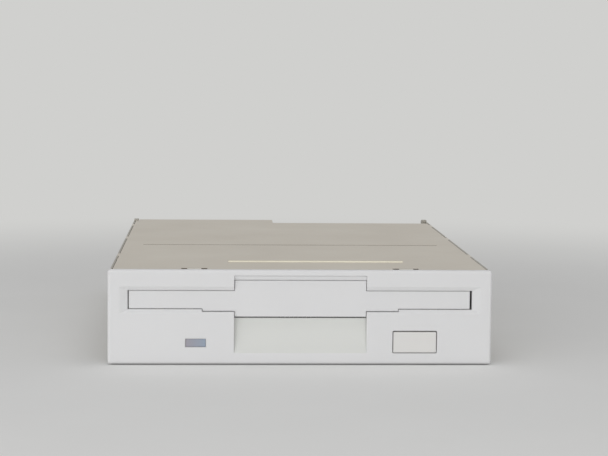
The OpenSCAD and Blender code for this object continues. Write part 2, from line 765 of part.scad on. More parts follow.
// Pressed steel cover that drops between the side walls and hooks onto them with six tabs
module top_cover() {
    groove = 0.25;
    groove_half = cover_half - groove_margin;
    bead_r = 0.8;
    bead_rise = 0.45;
    cut_x = -3;
    flange_y = [spring_lug_y[1] + 6, cover_rear - 16];
    color("tan") placed() difference() {
        union() {
            flat_plate([cover_under, body_top]) {
                rect([-cover_half, cover_half], [cover_front, base_rear]);
                rect([-cover_half, cut_x], [cover_front, ear_y[0] - 2 * cover_gap]);
                rect([-cover_flange_half, cut_x], [cover_front, cover_rear]);
                for (y = cover_tab_ys)
                    rect([-wall_outer, wall_outer], [y, y + cover_tab_length]);
            }
            both_sides()
                box([cover_flange_half - cover_thickness, cover_flange_half], flange_y,
                    [slide_z[1] + 0.6, body_top]);
            box([-cover_flange_half + 4, cut_x], [cover_rear - cover_thickness, cover_rear],
                [stepper_y[1] > cover_rear - 2 ? body_top - 2 : rod_z + 8.3, body_top]);
            box([cut_x, cover_flange_half - 4], [base_rear - cover_thickness, base_rear],
                [header_z[1] + 0.8, body_top]);
            intersection() {
                bar_x(bead_r, [bead_x - bead_length / 2, bead_x + bead_length / 2], bead_y,
                    body_top + bead_rise - bead_r);
                box([-half_bezel, half_bezel], [0, overall_depth], [cover_under, overall_height]);
            }
        }
        box([-groove_half, groove_half], [groove_y - 0.4, groove_y + 0.4],
            [body_top - groove, body_top + cut]);
        both_sides()
            box([top_tab_x - top_notch_half, top_tab_x + top_notch_half],
                [cover_front - cut, bezel_depth + cover_gap], [cover_under - cut, body_top + cut]);
    }
}

// Sheet steel cage that takes the disk: a top plate, two sides and two inward lips
module disk_holder() {
    lip = 5.4;
    sheet_z = [holder_top - holder_sheet, holder_top];
    floor_z = [slot_floor - holder_sheet, slot_floor];
    color("lightsteelblue") placed() difference() {
        union() {
            flat_plate(sheet_z) {
                rect([-holder_outer, holder_outer], [holder_front, holder_rear]);
                rect(lifter_x, [holder_rear - cut, lifter_rear]);
            }
            both_sides() {
                box([holder_inner, holder_outer], [holder_front, holder_rear], [floor_z[0], holder_top]);
                box([holder_outer - lip, holder_outer], [holder_front, holder_rear], floor_z);
            }
        }
        flat_plate([sheet_z[0] - cut, sheet_z[1] + cut]) {
            rect([-window_half, window_half], [window_front, lifter_rear + cut]);
            for (side = [-1, 1])
                translate([side * (holder_inner - 19.3), 0])
                    round_rect([-6, 6], [spindle_y - 33, spindle_y - 9], 3);
        }
        both_sides()
            for (y = holder_pin_ys)
                bar_x(holder_pin_r + seat_fit, [holder_inner - cut, holder_outer + cut], y, holder_pin_z);
    }
}

// Four collared pins riveted into the holder's sides
module holder_pins() {
    color("dimgray") placed()
        both_sides()
            for (y = holder_pin_ys) {
                bar_x(holder_pin_r, [holder_inner, wall_outer - 0.4], y, holder_pin_z);
                bar_x(holder_pin_r + 0.6, [holder_outer, holder_outer + 0.6], y, holder_pin_z);
            }
}

// Slot in the slide plate that the latch lever's pin follows as the plate moves
module latch_cam() {
    swing = [latch_pin_arm * sin(latch_swing), latch_pin_arm * (1 - cos(latch_swing))];
    start = [latch_x, latch_y - latch_pin_arm];
    long_slot(start, start + swing + [0, eject_travel], latch_pin_r + 3 * slot_fit);
}

// Sliding plate whose ramps lift and drop the holder pins, with the tongue that carries the button
module slide_plate() {
    flange_y = [holder_pin_ys[0] - 4, holder_pin_ys[1] + eject_travel + 4];
    flange_floor = holder_pin_z - holder_lift - 2.2;
    tongue_x = [button_x - tongue_half, button_x + tongue_half];
    tip_z = [button_z - slide_sheet / 2, button_z + slide_sheet / 2];
    color("silver") placed() difference() {
        union() {
            flat_plate(slide_z) difference() {
                rect([-slide_flange_x[1], slide_flange_x[1]], [slide_front, slide_rear]);
                rect([-window_half - 1, lifter_x[1] + 1], [window_front - 2, slide_rear + cut]);
                latch_cam();
                for (side = [-1, 0, 1])
                    translate([side * (holder_inner - 21.3), 0])
                        round_rect([-6, 6], [spindle_y - 25, spindle_y + 7], 3);
            }
            both_sides() {
                side_plate(slide_flange_x) rect(flange_y, [flange_floor, slide_z[1]]);
                box([spring_x - 1.2, spring_x + 1.2], spring_hook_y, [slide_z[0], spring_z + 0.6]);
            }
            box(slide_flange_x, tongue_y, [tongue_z[0], flange_floor + cut]);
            box([tongue_x[0], slide_flange_x[1]], tongue_y, tongue_z);
            box(tongue_x, [tongue_bend, tongue_y[1]], tongue_z);
            box(tongue_x, [tongue_bend, tongue_bend + slide_sheet], [tip_z[0], tongue_z[1]]);
            box(tongue_x, [button_pocket, tongue_bend + slide_sheet], tip_z);
        }
        both_sides()
            for (y = holder_pin_ys)
                side_plate([slide_flange_x[0] - cut, slide_flange_x[1] + cut])
                    long_slot([y, holder_pin_z], [y + eject_travel, holder_pin_z - holder_lift],
                        holder_pin_r + slot_fit);
    }
}

// Two extension springs that pull the slide plate forward from lugs on the frame
module slide_springs() {
    coil_r = 1;
    color("silver") placed() both_sides() difference() {
        bar_y(coil_r, spring_x, [spring_lug_y[1], spring_hook_y[0]], spring_z);
        bar_y(coil_r - 0.35, spring_x, [spring_lug_y[1] + 0.6, spring_hook_y[0] - 0.6], spring_z);
    }
}

// Lever that the disk pushes aside: it opens the shutter and then lets the slide plate go
module latch_lever() {
    hub_z = [latch_z[0] - 1, latch_z[1] + 0.6];
    color("goldenrod") placed() translate([latch_x, latch_y, 0]) difference() {
        union() {
            flat_plate(latch_z) {
                long_slot([0, 0], latch_tip, 1.8);
                long_slot([0, 0], [0, -latch_pin_arm], latch_pin_r + 0.8);
            }
            bar_z(latch_hub_r, 0, 0, hub_z);
            bar_z(latch_pin_r, 0, -latch_pin_arm, [latch_z[0], slide_z[1] + 0.6]);
            bar_z(latch_tip_r, latch_tip[0], latch_tip[1], [latch_z[0] - 1.4, latch_z[1]]);
        }
        bar_z(latch_post_r + running_fit, 0, 0, [hub_z[0] - cut, hub_z[1] + cut]);
    }
}

// Riveted post with a shoulder under the lever and a retaining collar over it
module latch_post() {
    shoulder_top = latch_z[0] - 1 - running_fit;
    collar_floor = latch_z[1] + 0.6 + running_fit;
    color("dimgray") placed() translate([latch_x, latch_y, 0]) {
        bar_z(latch_post_r, 0, 0, [base_floor, collar_floor + 0.8]);
        bar_z(latch_post_r + 0.9, 0, 0, [base_top, shoulder_top]);
        bar_z(latch_post_r + 0.8, 0, 0, [collar_floor, collar_floor + 0.5]);
    }
}

// Torsion spring round the post's shoulder
module latch_spring() {
    color("silver") placed() translate([latch_x, latch_y, 0]) difference() {
        bar_z(latch_post_r + 1.7, 0, 0, [base_top, base_top + 3]);
        bar_z(latch_post_r + 0.95, 0, 0, [base_top - cut, base_top + 3 + cut]);
    }
}

// Steel-backed circuit board of the spindle motor
module motor_board() {
    color("darkgreen") placed() flat_plate(motor_board_z) difference() {
        round_rect([-motor_board_half, motor_board_half], motor_board_y, 2);
        translate([0, spindle_y]) circle(bearing_r + seat_fit);
        for (p = motor_screws)
            translate(p) circle(small_screw_r + seat_fit);
    }
}

// Flanged bronze bearing of the spindle
module spindle_bearing() {
    color("peru") placed() translate([0, spindle_y, 0]) difference() {
        union() {
            bar_z(bearing_r, 0, 0, bearing_z);
            bar_z(bearing_flange_r, 0, 0, [motor_board_z[1], motor_board_z[1] + 0.6]);
        }
        bar_z(shaft_r + running_fit, 0, 0, [bearing_z[0] - cut, bearing_z[1] + cut]);
    }
}

// Height of the stator's teeth, and the outline of one of them
tooth_z = [stator_z[0] + 0.45, stator_z[1] - 0.35];
tooth_half = 0.9;
module each_tooth() {
    for (i = [0 : stator_teeth - 1])
        rotate(i * 360 / stator_teeth) children();
}

// Laminated core: a ring round the bearing with one shoed tooth per coil
module stator_core() {
    ring_r = [bearing_flange_r + 0.2, bearing_flange_r + 2.2];
    shoe_half = 2.4;
    color("slategray") placed() translate([0, spindle_y, 0]) {
        flat_plate(stator_z) difference() {
            circle(ring_r[1]);
            circle(ring_r[0]);
        }
        flat_plate(tooth_z) intersection() {
            each_tooth() {
                rect([ring_r[1] - 0.5, tooth_end_r], [-tooth_half, tooth_half]);
                rect([tooth_end_r - 1.4, tooth_end_r], [-shoe_half, shoe_half]);
            }
            circle(tooth_end_r);
        }
    }
}

// One winding on each tooth
module stator_coils() {
    coil_r = [bearing_flange_r + 2.8, tooth_end_r - 1.8];
    coil_half = tooth_half + 0.8;
    color("chocolate") placed() translate([0, spindle_y, 0]) each_tooth() difference() {
        flat_plate([stator_z[0] + 0.05, stator_z[1] + 0.1])
            round_rect(coil_r, [-coil_half, coil_half], 0.5);
        box([coil_r[0] - cut, coil_r[1] + cut], [-tooth_half, tooth_half], tooth_z);
    }
}

// Pressed cup that turns over the stator
module rotor_cup() {
    color("lightgray") placed() translate([0, spindle_y, 0]) difference() {
        bar_z(rotor_r, 0, 0, [rotor_floor, rotor_top]);
        bar_z(rotor_r - rotor_sheet, 0, 0, [rotor_floor - cut, rotor_top - rotor_sheet]);
        bar_z(spigot_r, 0, 0, [rotor_floor - cut, rotor_top + cut]);
    }
}

// Ring magnet inside the cup's rim
module rotor_magnet() {
    color("dimgray") placed() translate([0, spindle_y, 0]) difference() {
        bar_z(magnet_r[1] - seat_fit, 0, 0, [rotor_floor + 0.1, rotor_top - rotor_sheet]);
        bar_z(magnet_r[0], 0, 0, [rotor_floor - cut, rotor_top]);
    }
}

// Turned hub that carries the disk's steel centre plate
module spindle_hub() {
    color("burlywood") placed() translate([0, spindle_y, 0]) difference() {
        union() {
            bar_z(hub_r, 0, 0, hub_z);
            bar_z(spigot_r - seat_fit, 0, 0, [rotor_top - rotor_sheet, hub_z[1]]);
        }
        bar_z(shaft_r + seat_fit, 0, 0, [rotor_floor, hub_z[1] + cut]);
        difference() {
            bar_z(hub_r - 1.4, 0, 0, [hub_z[1] - 0.4, hub_z[1] + cut]);
            bar_z(spigot_r, 0, 0, [hub_z[1] - 1, hub_z[1] + 1]);
            bar_z(drive_pin_r + 0.8, drive_pin_at, 0, [hub_z[1] - 1, hub_z[1] + 1]);
        }
    }
}

// Spindle shaft with a coned tip for the disk's centre hole and a collar under the bearing
module spindle_shaft() {
    tip = 0.8;
    shaft_z = [bearing_z[0] - 0.9, hub_z[1] + 1.6];
    color("silver") placed() translate([0, spindle_y, 0]) {
        bar_z(shaft_r, 0, 0, [shaft_z[0], shaft_z[1] - tip]);
        translate([0, 0, shaft_z[1] - tip]) cylinder(r1 = shaft_r, r2 = shaft_r - 0.6, h = tip);
        bar_z(shaft_r + 1, 0, 0, [shaft_z[0], shaft_z[0] + 0.8]);
    }
}

// Pin that drives the disk's centre plate
module drive_pin() {
    pin_top = hub_z[1] + 1.2;
    color("silver") placed() translate([drive_pin_at, spindle_y, 0]) {
        bar_z(drive_pin_r, 0, 0, [hub_z[1], pin_top - 0.4]);
        translate([0, 0, pin_top - 0.4]) cylinder(r1 = drive_pin_r, r2 = drive_pin_r - 0.4, h = 0.4);
    }
}

// Three-legged sensor beside the rotor that gives one pulse per turn
module index_sensor() {
    body_x = [rotor_r + 1, rotor_r + 2.6];
    color("black") placed() translate([0, spindle_y, 0]) {
        box(body_x, [-2, 2], [motor_board_z[1] + 0.6, motor_board_z[1] + 3.2]);
        for (y = [-1.27, 0, 1.27])
            box([body_x[0] + 0.5, body_x[1] - 0.5], [y - 0.2, y + 0.2],
                [motor_board_z[1], motor_board_z[1] + 0.8]);
    }
}

// Moulded carriage that runs on the guide rod, with the cheeks that the upper arm hinges between
module head_carriage() {
    cheek_z = [carriage_z[0], arm_axis_z + 1.9];
    boss_r = rod_r + 0.8;
    pocket_x = [carriage_x[0] + 2, rod_x - 4];
    color("dimgray") placed() difference() {
        union() {
            box([-nose_half, nose_half], nose_y, carriage_z);
            box(carriage_x, carriage_y, carriage_z);
            bar_y(boss_r, rod_x, carriage_y, rod_z);
            both_sides() box(tower_x, tower_y, cheek_z);
            box([carriage_x[1], vane_x], vane_y, vane_z);
        }
        box(pocket_x, [carriage_y[0] + 3, tower_y[0] - 2], [carriage_z[0] + 1.2, carriage_z[1] + cut]);
        bar_y(rod_r + running_fit, rod_x, [nose_y[0], carriage_y[1] + cut], rod_z);
        bar_x(arm_pin_r + seat_fit, [-tower_x[1] - cut, tower_x[1] + cut], arm_axis_y, arm_axis_z);
        bar_x(follower_r + seat_fit, [carriage_x[0] - cut, pocket_x[0] + cut], follower_y, rod_z);
    }
}

// Ceramic slider and its mount, as both heads have it, with the face at height 0
module head_slider(height) {
    box([-3.5, 3.5], [-3, 3], [-height, -height + 0.6]);
    box([-2.6, -0.6], [-2.4, 2.4], [-height, 0]);
    box([0.6, 2.6], [-2.4, 2.4], [-height, 0]);
    box([-2.6, 2.6], [-2.4, 2.4], [-height, -0.3]);
}

// Lower read and write head on the carriage's nose
module lower_head() {
    color("gray") placed() translate([0, head_y, head_face]) head_slider(head_face - carriage_z[1]);
}

// Pin that rides in the lead screw's groove
module follower_pin() {
    color("silver") placed()
        bar_x(follower_r, [-screw_x + screw_r + 0.25, carriage_x[0] + 2], follower_y, rod_z);
}

// Pin across the carriage's cheeks
module arm_hinge_pin() {
    color("silver") placed() bar_x(arm_pin_r, [-tower_x[1], tower_x[1]], arm_axis_y, arm_axis_z);
}

// Torsion spring between the arm's two barrels
module arm_spring() {
    color("silver") placed() difference() {
        bar_x(arm_pin_r + 0.7, [-2.4, 2.4], arm_axis_y, arm_axis_z);
        bar_x(arm_pin_r + 0.1, [-2.4 - cut, 2.4 + cut], arm_axis_y, arm_axis_z);
    }
}

// Turns the arm's own frame, level when a disk is loaded, to its raised rest
module raised_arm() {
    placed() translate([0, arm_axis_y, arm_axis_z]) rotate([-arm_lift_angle, 0, 0]) children();
}

// Upper arm: a tapered plate with two hinge barrels and the tab that the holder lifts
module upper_head_arm() {
    tip = head_y - arm_axis_y - 3;
    tab_y = [arm_tab_y[0] - arm_axis_y, arm_tab_y[1] - arm_axis_y];
    plate_z = [arm_z[0] - arm_axis_z, arm_z[1] - arm_axis_z];
    barrel_r = arm_pin_r + 0.9;
    color("darkslategray") raised_arm() difference() {
        union() {
            flat_plate(plate_z) difference() {
                polygon([[-arm_half, 0], [arm_half, 0], [4.2, tip], [-4.2, tip]]);
                rect([-2.8, 2.8], [-2.5, cut]);
                round_rect([-2.4, 2.4], [-15, -6], 1);
            }
            both_sides() bar_x(barrel_r, [2.8, arm_half], 0, 0);
            box([arm_half - 2, arm_half], tab_y, [plate_z[0], tab_z[1]]);
            box([arm_half - 2, lifter_x[1] - 0.5], tab_y, tab_z);
        }
        bar_x(arm_pin_r + running_fit, [-arm_half - cut, arm_half + cut], 0, 0);
    }
}

// Upper read and write head under the arm's tip
module upper_head() {
    height = arm_z[0] - head_face - head_air;
    color("gray") raised_arm()
        translate([0, head_y - arm_axis_y, head_face + head_air - arm_axis_z])
        mirror([0, 0, 1]) head_slider(height);
}

// Ground steel rod that guides the carriage
module guide_rod() {
    color("silver") placed() bar_y(rod_r, rod_x, rod_y, rod_z);
}

// Two screwed clamps that hold the rod's ends on the base plate
module rod_clamps() {
    block_x = [rod_x - 2.6, rod_x + 2.6];
    foot_x = [rod_x - 2.6, rod_x + 7.8];
    color("gray") placed() for (y = clamp_ys) difference() {
        union() {
            box(block_x, [y, y + clamp_length], [base_top, rod_z + rod_r + 0.7]);
            box(foot_x, [y, y + clamp_length], [base_top, base_top + 1.2]);
        }
        bar_y(rod_r + seat_fit, rod_x, [y - cut, y + clamp_length + cut], rod_z);
        bar_z(small_screw_r + seat_fit, rod_x + 5.2, y + clamp_length / 2, [base_top - cut, base_top + 2]);
    }
}

// Folded bracket that holds the stepper at one end and the screw's tip at the other
module stepper_bracket() {
    ear_half = 3;
    flange_half = stepper_r + 0.4;
    color("silver") placed() difference() {
        union() {
            flat_plate(bracket_z) {
                rect(bracket_x, bracket_y);
                for (p = bracket_screw_points)
                    rect([p[0] - 3, bracket_x[0] + cut], [p[1] - 3, p[1] + 3]);
            }
            box([bracket_x[0], -screw_x + ear_half], [bracket_y[0], bracket_y[0] + bracket_sheet],
                [base_top, disk_seat - 0.3]);
            front_plate([bracket_y[1] - bracket_sheet, bracket_y[1]]) {
                rect([-screw_x - flange_half, -screw_x + flange_half], [base_top, rod_z]);
                translate([-screw_x, rod_z]) circle(flange_half);
            }
        }
        bar_y(tip_bush_r + seat_fit, -screw_x, [bracket_y[0] - cut, bracket_y[0] + 2], rod_z);
        bar_y(screw_r + 0.4, -screw_x, [bracket_y[1] - 2, bracket_y[1] + cut], rod_z);
        for (p = bracket_screw_points)
            bar_z(small_screw_r + seat_fit, p[0], p[1], [base_top - cut, bracket_z[1] + cut]);
        box([-half_bezel, half_bezel], bracket_y + [0, cut], [-cut, base_top]);
    }
}

// Round stepper motor with its end boss and terminal block
module stepper_can() {
    color("lightgray") placed() difference() {
        union() {
            bar_y(stepper_r, -screw_x, stepper_y, rod_z);
            bar_y(stepper_r / 3, -screw_x, [stepper_y[1], stepper_y[1] + 0.8], rod_z);
            box([-screw_x - 4, -screw_x + 4], [stepper_y[0] + 4, stepper_y[1] - 3],
                [rod_z + stepper_r - 1, rod_z + stepper_r + 1.4]);
        }
        bar_y(screw_r + running_fit, -screw_x, [stepper_y[0] - cut, stepper_y[0] + 8], rod_z);
    }
}

// Lead screw, from the bush at its tip into the stepper
module lead_screw() {
    bush_end = bracket_y[0] + bracket_sheet + 1;
    color("silver") placed() {
        bar_y(screw_r, -screw_x, [bush_end + 0.1, stepper_y[0] + 7.8], rod_z);
        bar_y(screw_tip_r, -screw_x, [bracket_y[0] - 0.4, bush_end + 0.2], rod_z);
    }
}

// Flanged bush for the screw's tip
module screw_bearing() {
    flange_y = [bracket_y[0] + bracket_sheet, bracket_y[0] + bracket_sheet + 1];
    color("peru") placed() difference() {
        union() {
            bar_y(tip_bush_r, -screw_x, [bracket_y[0], flange_y[1]], rod_z);
            bar_y(tip_bush_r + 0.4, -screw_x, flange_y, rod_z);
        }
        bar_y(screw_tip_r + running_fit, -screw_x, [bracket_y[0] - cut, flange_y[1] + cut], rod_z);
    }
}

// Flat cable looped from the carriage's rear down to its connector on the main board
module head_flex_cable() {
    cable_x = [1, 6.5];
    film = 0.2;
    top_z = rod_z + 1.2;
    bottom_z = main_board_z[1] + 0.7;
    loop_r = (top_z - bottom_z) / 2;
    loop_y = carriage_y[1] + 1;
    color("orange") placed() side_plate(cable_x) {
        rect([carriage_y[1], loop_y], [top_z - film, top_z]);
        intersection() {
            translate([loop_y, bottom_z + loop_r]) difference() {
                circle(loop_r);
                circle(loop_r - film);
            }
            rect([loop_y, loop_y + 2 * loop_r], [bottom_z - 1, top_z + 1]);
        }
        rect([flex_socket_y[1], loop_y], [bottom_z, bottom_z + film]);
    }
}

// Light barrier that sees the carriage's vane at the outermost track
module track_zero_sensor() {
    arm_x = [vane_x - 2.8, vane_x + 3];
    sensor_y = [vane_y[0] - 1.2, vane_y[1] + 1.2];
    color("black") placed() {
        box(arm_x, sensor_y, [base_top, vane_z[0] - 0.6]);
        box(arm_x, sensor_y, [vane_z[1] + 0.6, vane_z[1] + 2]);
        box([vane_x + 0.8, arm_x[1]], sensor_y, [base_top, vane_z[1] + 2]);
    }
}

// Main circuit board, hung under the rear of the base plate and cut out round the stepper
module main_board() {
    color("darkgreen") placed() flat_plate(main_board_z) difference() {
        round_rect([-main_board_half, main_board_half], main_board_y, 1.5);
        rect([-screw_x - stepper_r - stepper_clear, -screw_x + stepper_r + stepper_clear],
            [stepper_y[0] - stepper_clear, main_board_y[1] + cut]);
        for (p = standoffs)
            translate(p) circle(small_screw_r + seat_fit);
    }
}

// A square chip under the board: moulded body with a row of leads on each side
module chip(at, half, leads) {
    body_z = [main_board_z[0] - 1.9, main_board_z[0] - 0.3];
    pitch = (2 * half - 1.6) / (leads - 1);
    lead_half = 0.18;
    translate(at) {
        flat_plate(body_z) round_rect([-half, half], [-half, half], 0.3);
        for (turn = [0, 90, 180, 270], i = [0 : leads - 1])
            rotate(turn) translate([(i - (leads - 1) / 2) * pitch, 0, 0]) {
                box([-lead_half, lead_half], [half - 0.2, half + 0.5],
                    [body_z[0] + 0.8, body_z[0] + 1]);
                box([-lead_half, lead_half], [half + 0.3, half + 0.5],
                    [body_z[0] + 0.8, main_board_z[0]]);
            }
    }
}

// Drive controller and the head amplifier
module controller_chips() {
    color("black") placed() {
        chip(controller_at, 6.5, 12);
        chip(amplifier_at, 4.5, 8);
    }
}

// Socket on the main board that the flat cable plugs into
module flex_connector() {
    color("ivory") placed() difference() {
        box([0, 7.5], flex_socket_y, [main_board_z[1], main_board_z[1] + 1.8]);
        box([0.8, 6.7], [flex_socket_y[0] + 1, flex_socket_y[1] - 1],
            [main_board_z[1] + 1.1, main_board_z[1] + 3]);
    }
}

// Shrouded two-row data header with a keying gap in its upper wall
module data_header() {
    header_span = [header_x - header_half, header_x + header_half];
    back = 2.4;
    color("black") placed() difference() {
        box(header_span, header_y, header_z);
        box([header_span[0] + header_wall, header_span[1] - header_wall],
            [header_y[0] + back, header_y[1] + cut],
            [header_z[0] + header_wall, header_z[1] - header_wall]);
        box([header_x - 2.2, header_x + 2.2], [header_y[0] + back, header_y[1] + cut],
            [header_z[1] - 2, header_z[1] + cut]);
        each_data_pin()
            box([-pin_half, pin_half], [header_y[0] - cut, header_y[0] + back + cut], [-pin_half, pin_half]);
    }
}

// Puts a piece at every pin of the header, at the height of its row
module each_data_pin() {
    for (row = [0, 1], i = [0 : header_columns - 1])
        translate([header_x + (i - (header_columns - 1) / 2) * header_pitch, 0,
            header_z[0] + 3.2 + row * header_pitch])
            children();
}

// Bent square pins from the main board through the header's back wall
module data_pins() {
    color("gold") placed() {
        each_data_pin()
            box([-pin_half, pin_half], [header_y[0] - 0.82, header_y[1] - 1.2], [-pin_half, pin_half]);
        for (i = [0 : header_columns - 1])
            translate([header_x + (i - (header_columns - 1) / 2) * header_pitch, header_y[0] - 0.5, 0]) {
                box([-pin_half, pin_half], [-pin_half, pin_half],
                    [main_board_z[1], header_z[0] + 3.2 + header_pitch]);
                box([-pin_half, pin_half], [-pin_half, pin_half], [main_board_z[0] - 0.9, main_board_z[0]]);
            }
    }
}

// Four-way power connector, a tray that is open to the rear and above
module power_connector() {
    span = [-power_x - power_half, -power_x + power_half];
    back = 2;
    color("white") placed() difference() {
        box(span, power_y, power_z);
        box([span[0] + 1, span[1] - 1], [power_y[0] + back, power_y[1] + cut],
            [power_z[0] + 1.2, power_z[1] + cut]);
        box([-power_x - 1.6, -power_x + 1.6], [power_y[0] + back + 2, power_y[1] + cut],
            [power_z[0] - cut, power_z[0] + 2]);
        each_power_pin()
            box([-pin_half, pin_half], [power_y[0] - cut, power_y[0] + back + cut], [-pin_half, pin_half]);
    }
}

// Puts a piece at each of the four power pins
module each_power_pin() {
    for (i = [0 : 3])
        translate([-power_x + (i - 1.5) * power_pitch, 0, power_z[0] + 3.6]) children();
}

// Bent square pins of the power connector
module power_pins() {
    color("gold") placed() each_power_pin() {
        box([-pin_half, pin_half], [power_y[0] - 0.82, power_y[1] - 1.4], [-pin_half, pin_half]);
        box([-pin_half, pin_half], [power_y[0] - 0.82, power_y[0] - 0.18],
            [main_board_z[1] - power_z[0] - 3.6, 0]);
    }
}

// Three push switches on the base plate, under the disk's front corners
module sensing_switches() {
    color("black") placed() for (x = [density_x, write_x, disk_switch_x]) difference() {
        box([x - switch_half, x + switch_half], switch_ys, switch_z);
        bar_z(plunger_r + running_fit, x, plunger_y, [switch_z[0] + 0.6, switch_z[1] + cut]);
    }
}

// Round-topped plunger of one switch
module plunger(x) {
    bar_z(plunger_r, x, plunger_y, [switch_z[0] + 1.9, plunger_tip - plunger_r]);
    translate([x, plunger_y, plunger_tip - plunger_r]) sphere(plunger_r);
}
module density_plunger() {
    color("ivory") placed() plunger(density_x);
}
module write_plunger() {
    color("ivory") placed() plunger(write_x);
}
module disk_plunger() {
    color("ivory") placed() plunger(disk_switch_x);
}

// Screws that hold the motor board
module motor_board_screws() {
    color("silver") placed()
        for (p = motor_screws) pan_screw(p[0], p[1], motor_board_z[1], 2.4, 1);
}

// Screws that hold the main board to the standoffs, from below
module main_board_screws() {
    color("silver") placed()
        for (p = standoffs) pan_screw(p[0], p[1], main_board_z[0], 4, -1);
}

// Screws of the stepper bracket
module bracket_screws() {
    color("silver") placed()
        for (p = bracket_screw_points) pan_screw(p[0], p[1], bracket_z[1], 2.4, 1);
}

// Screws of the rod clamps
module clamp_screws() {
    color("silver") placed()
        for (p = clamp_screw_points) pan_screw(p[0], p[1], base_top + 1.2, 2.6, 1);
}

front_bezel();
slot_door();
door_spring();
eject_button();
lamp_lens();
lamp_holder();
chassis_frame();
top_cover();
disk_holder();
holder_pins();
slide_plate();
slide_springs();
latch_lever();
latch_post();
latch_spring();
motor_board();
stator_core();
stator_coils();
spindle_bearing();
rotor_cup();
rotor_magnet();
spindle_hub();
spindle_shaft();
drive_pin();
index_sensor();
head_carriage();
lower_head();
follower_pin();
arm_hinge_pin();
arm_spring();
upper_head_arm();
upper_head();
guide_rod();
rod_clamps();
stepper_bracket();
stepper_can();
lead_screw();
screw_bearing();
head_flex_cable();
track_zero_sensor();
main_board();
controller_chips();
flex_connector();
data_header();
data_pins();
power_connector();
power_pins();
sensing_switches();
density_plunger();
write_plunger();
disk_plunger();
motor_board_screws();
main_board_screws();
bracket_screws();
clamp_screws();
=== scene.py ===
import math

import bmesh
import bpy
from mathutils import Matrix, Vector


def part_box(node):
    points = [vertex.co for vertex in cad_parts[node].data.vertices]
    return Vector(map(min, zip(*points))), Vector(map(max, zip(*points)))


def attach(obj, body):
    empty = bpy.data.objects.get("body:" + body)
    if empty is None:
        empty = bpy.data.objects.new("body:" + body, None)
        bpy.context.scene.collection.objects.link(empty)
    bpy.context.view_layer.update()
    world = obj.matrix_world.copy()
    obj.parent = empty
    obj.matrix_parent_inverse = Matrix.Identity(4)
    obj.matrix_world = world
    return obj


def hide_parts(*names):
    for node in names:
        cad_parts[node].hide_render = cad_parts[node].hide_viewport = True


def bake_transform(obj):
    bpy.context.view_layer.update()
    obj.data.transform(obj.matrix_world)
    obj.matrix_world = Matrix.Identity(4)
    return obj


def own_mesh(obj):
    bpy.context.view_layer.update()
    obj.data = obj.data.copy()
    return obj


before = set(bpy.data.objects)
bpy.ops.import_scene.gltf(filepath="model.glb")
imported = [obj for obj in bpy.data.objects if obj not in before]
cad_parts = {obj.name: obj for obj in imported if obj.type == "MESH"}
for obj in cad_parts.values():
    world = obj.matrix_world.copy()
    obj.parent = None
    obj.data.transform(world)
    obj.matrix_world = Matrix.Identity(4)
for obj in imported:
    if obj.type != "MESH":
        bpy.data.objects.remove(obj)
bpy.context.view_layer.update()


# Chassis frame: one aluminium pressure die casting with two side walls and a raised base plate.
# It is tumbled and chromate-coated, then drilled and tapped, and every other piece is fixed to it.
MM = 0.001
FACE_TO_MIDDLE = 74


def at(x, y, z):
    """A point in millimetres, with y counted from the bezel's face, as metres in the part's frame."""
    return Vector((x, y - FACE_TO_MIDDLE, z)) * MM


def per_mm(size):
    """Texture scale whose features are about this many millimetres wide."""
    return 1 / (size * MM)


def paint(hex_colour, shade=1.0):
    """An sRGB hex colour as linear RGBA, darkened by shade."""
    shares = [int(hex_colour[i:i + 2], 16) / 255 for i in (0, 2, 4)]
    linear = [s / 12.92 if s <= 0.04045 else ((s + 0.055) / 1.055) ** 2.4 for s in shares]
    return [shade * s for s in linear] + [1.0]


def add(tree, kind, inputs=None, **settings):
    """Adds a shader node: an input that is a socket is linked, any other value is set."""
    made = tree.nodes.new(kind)
    for name, value in settings.items():
        setattr(made, name, value)
    for key, value in (inputs or {}).items():
        if isinstance(value, bpy.types.NodeSocket):
            tree.links.new(value, made.inputs[key])
        else:
            made.inputs[key].default_value = value
    return made


def blank_material(name):
    """A new material with an empty node tree, and the piece's own coordinates in metres."""
    made = bpy.data.materials.new(name)
    made.use_nodes = True
    made.node_tree.nodes.clear()
    return made, made.node_tree, add(made.node_tree, "ShaderNodeTexCoord").outputs["Object"]


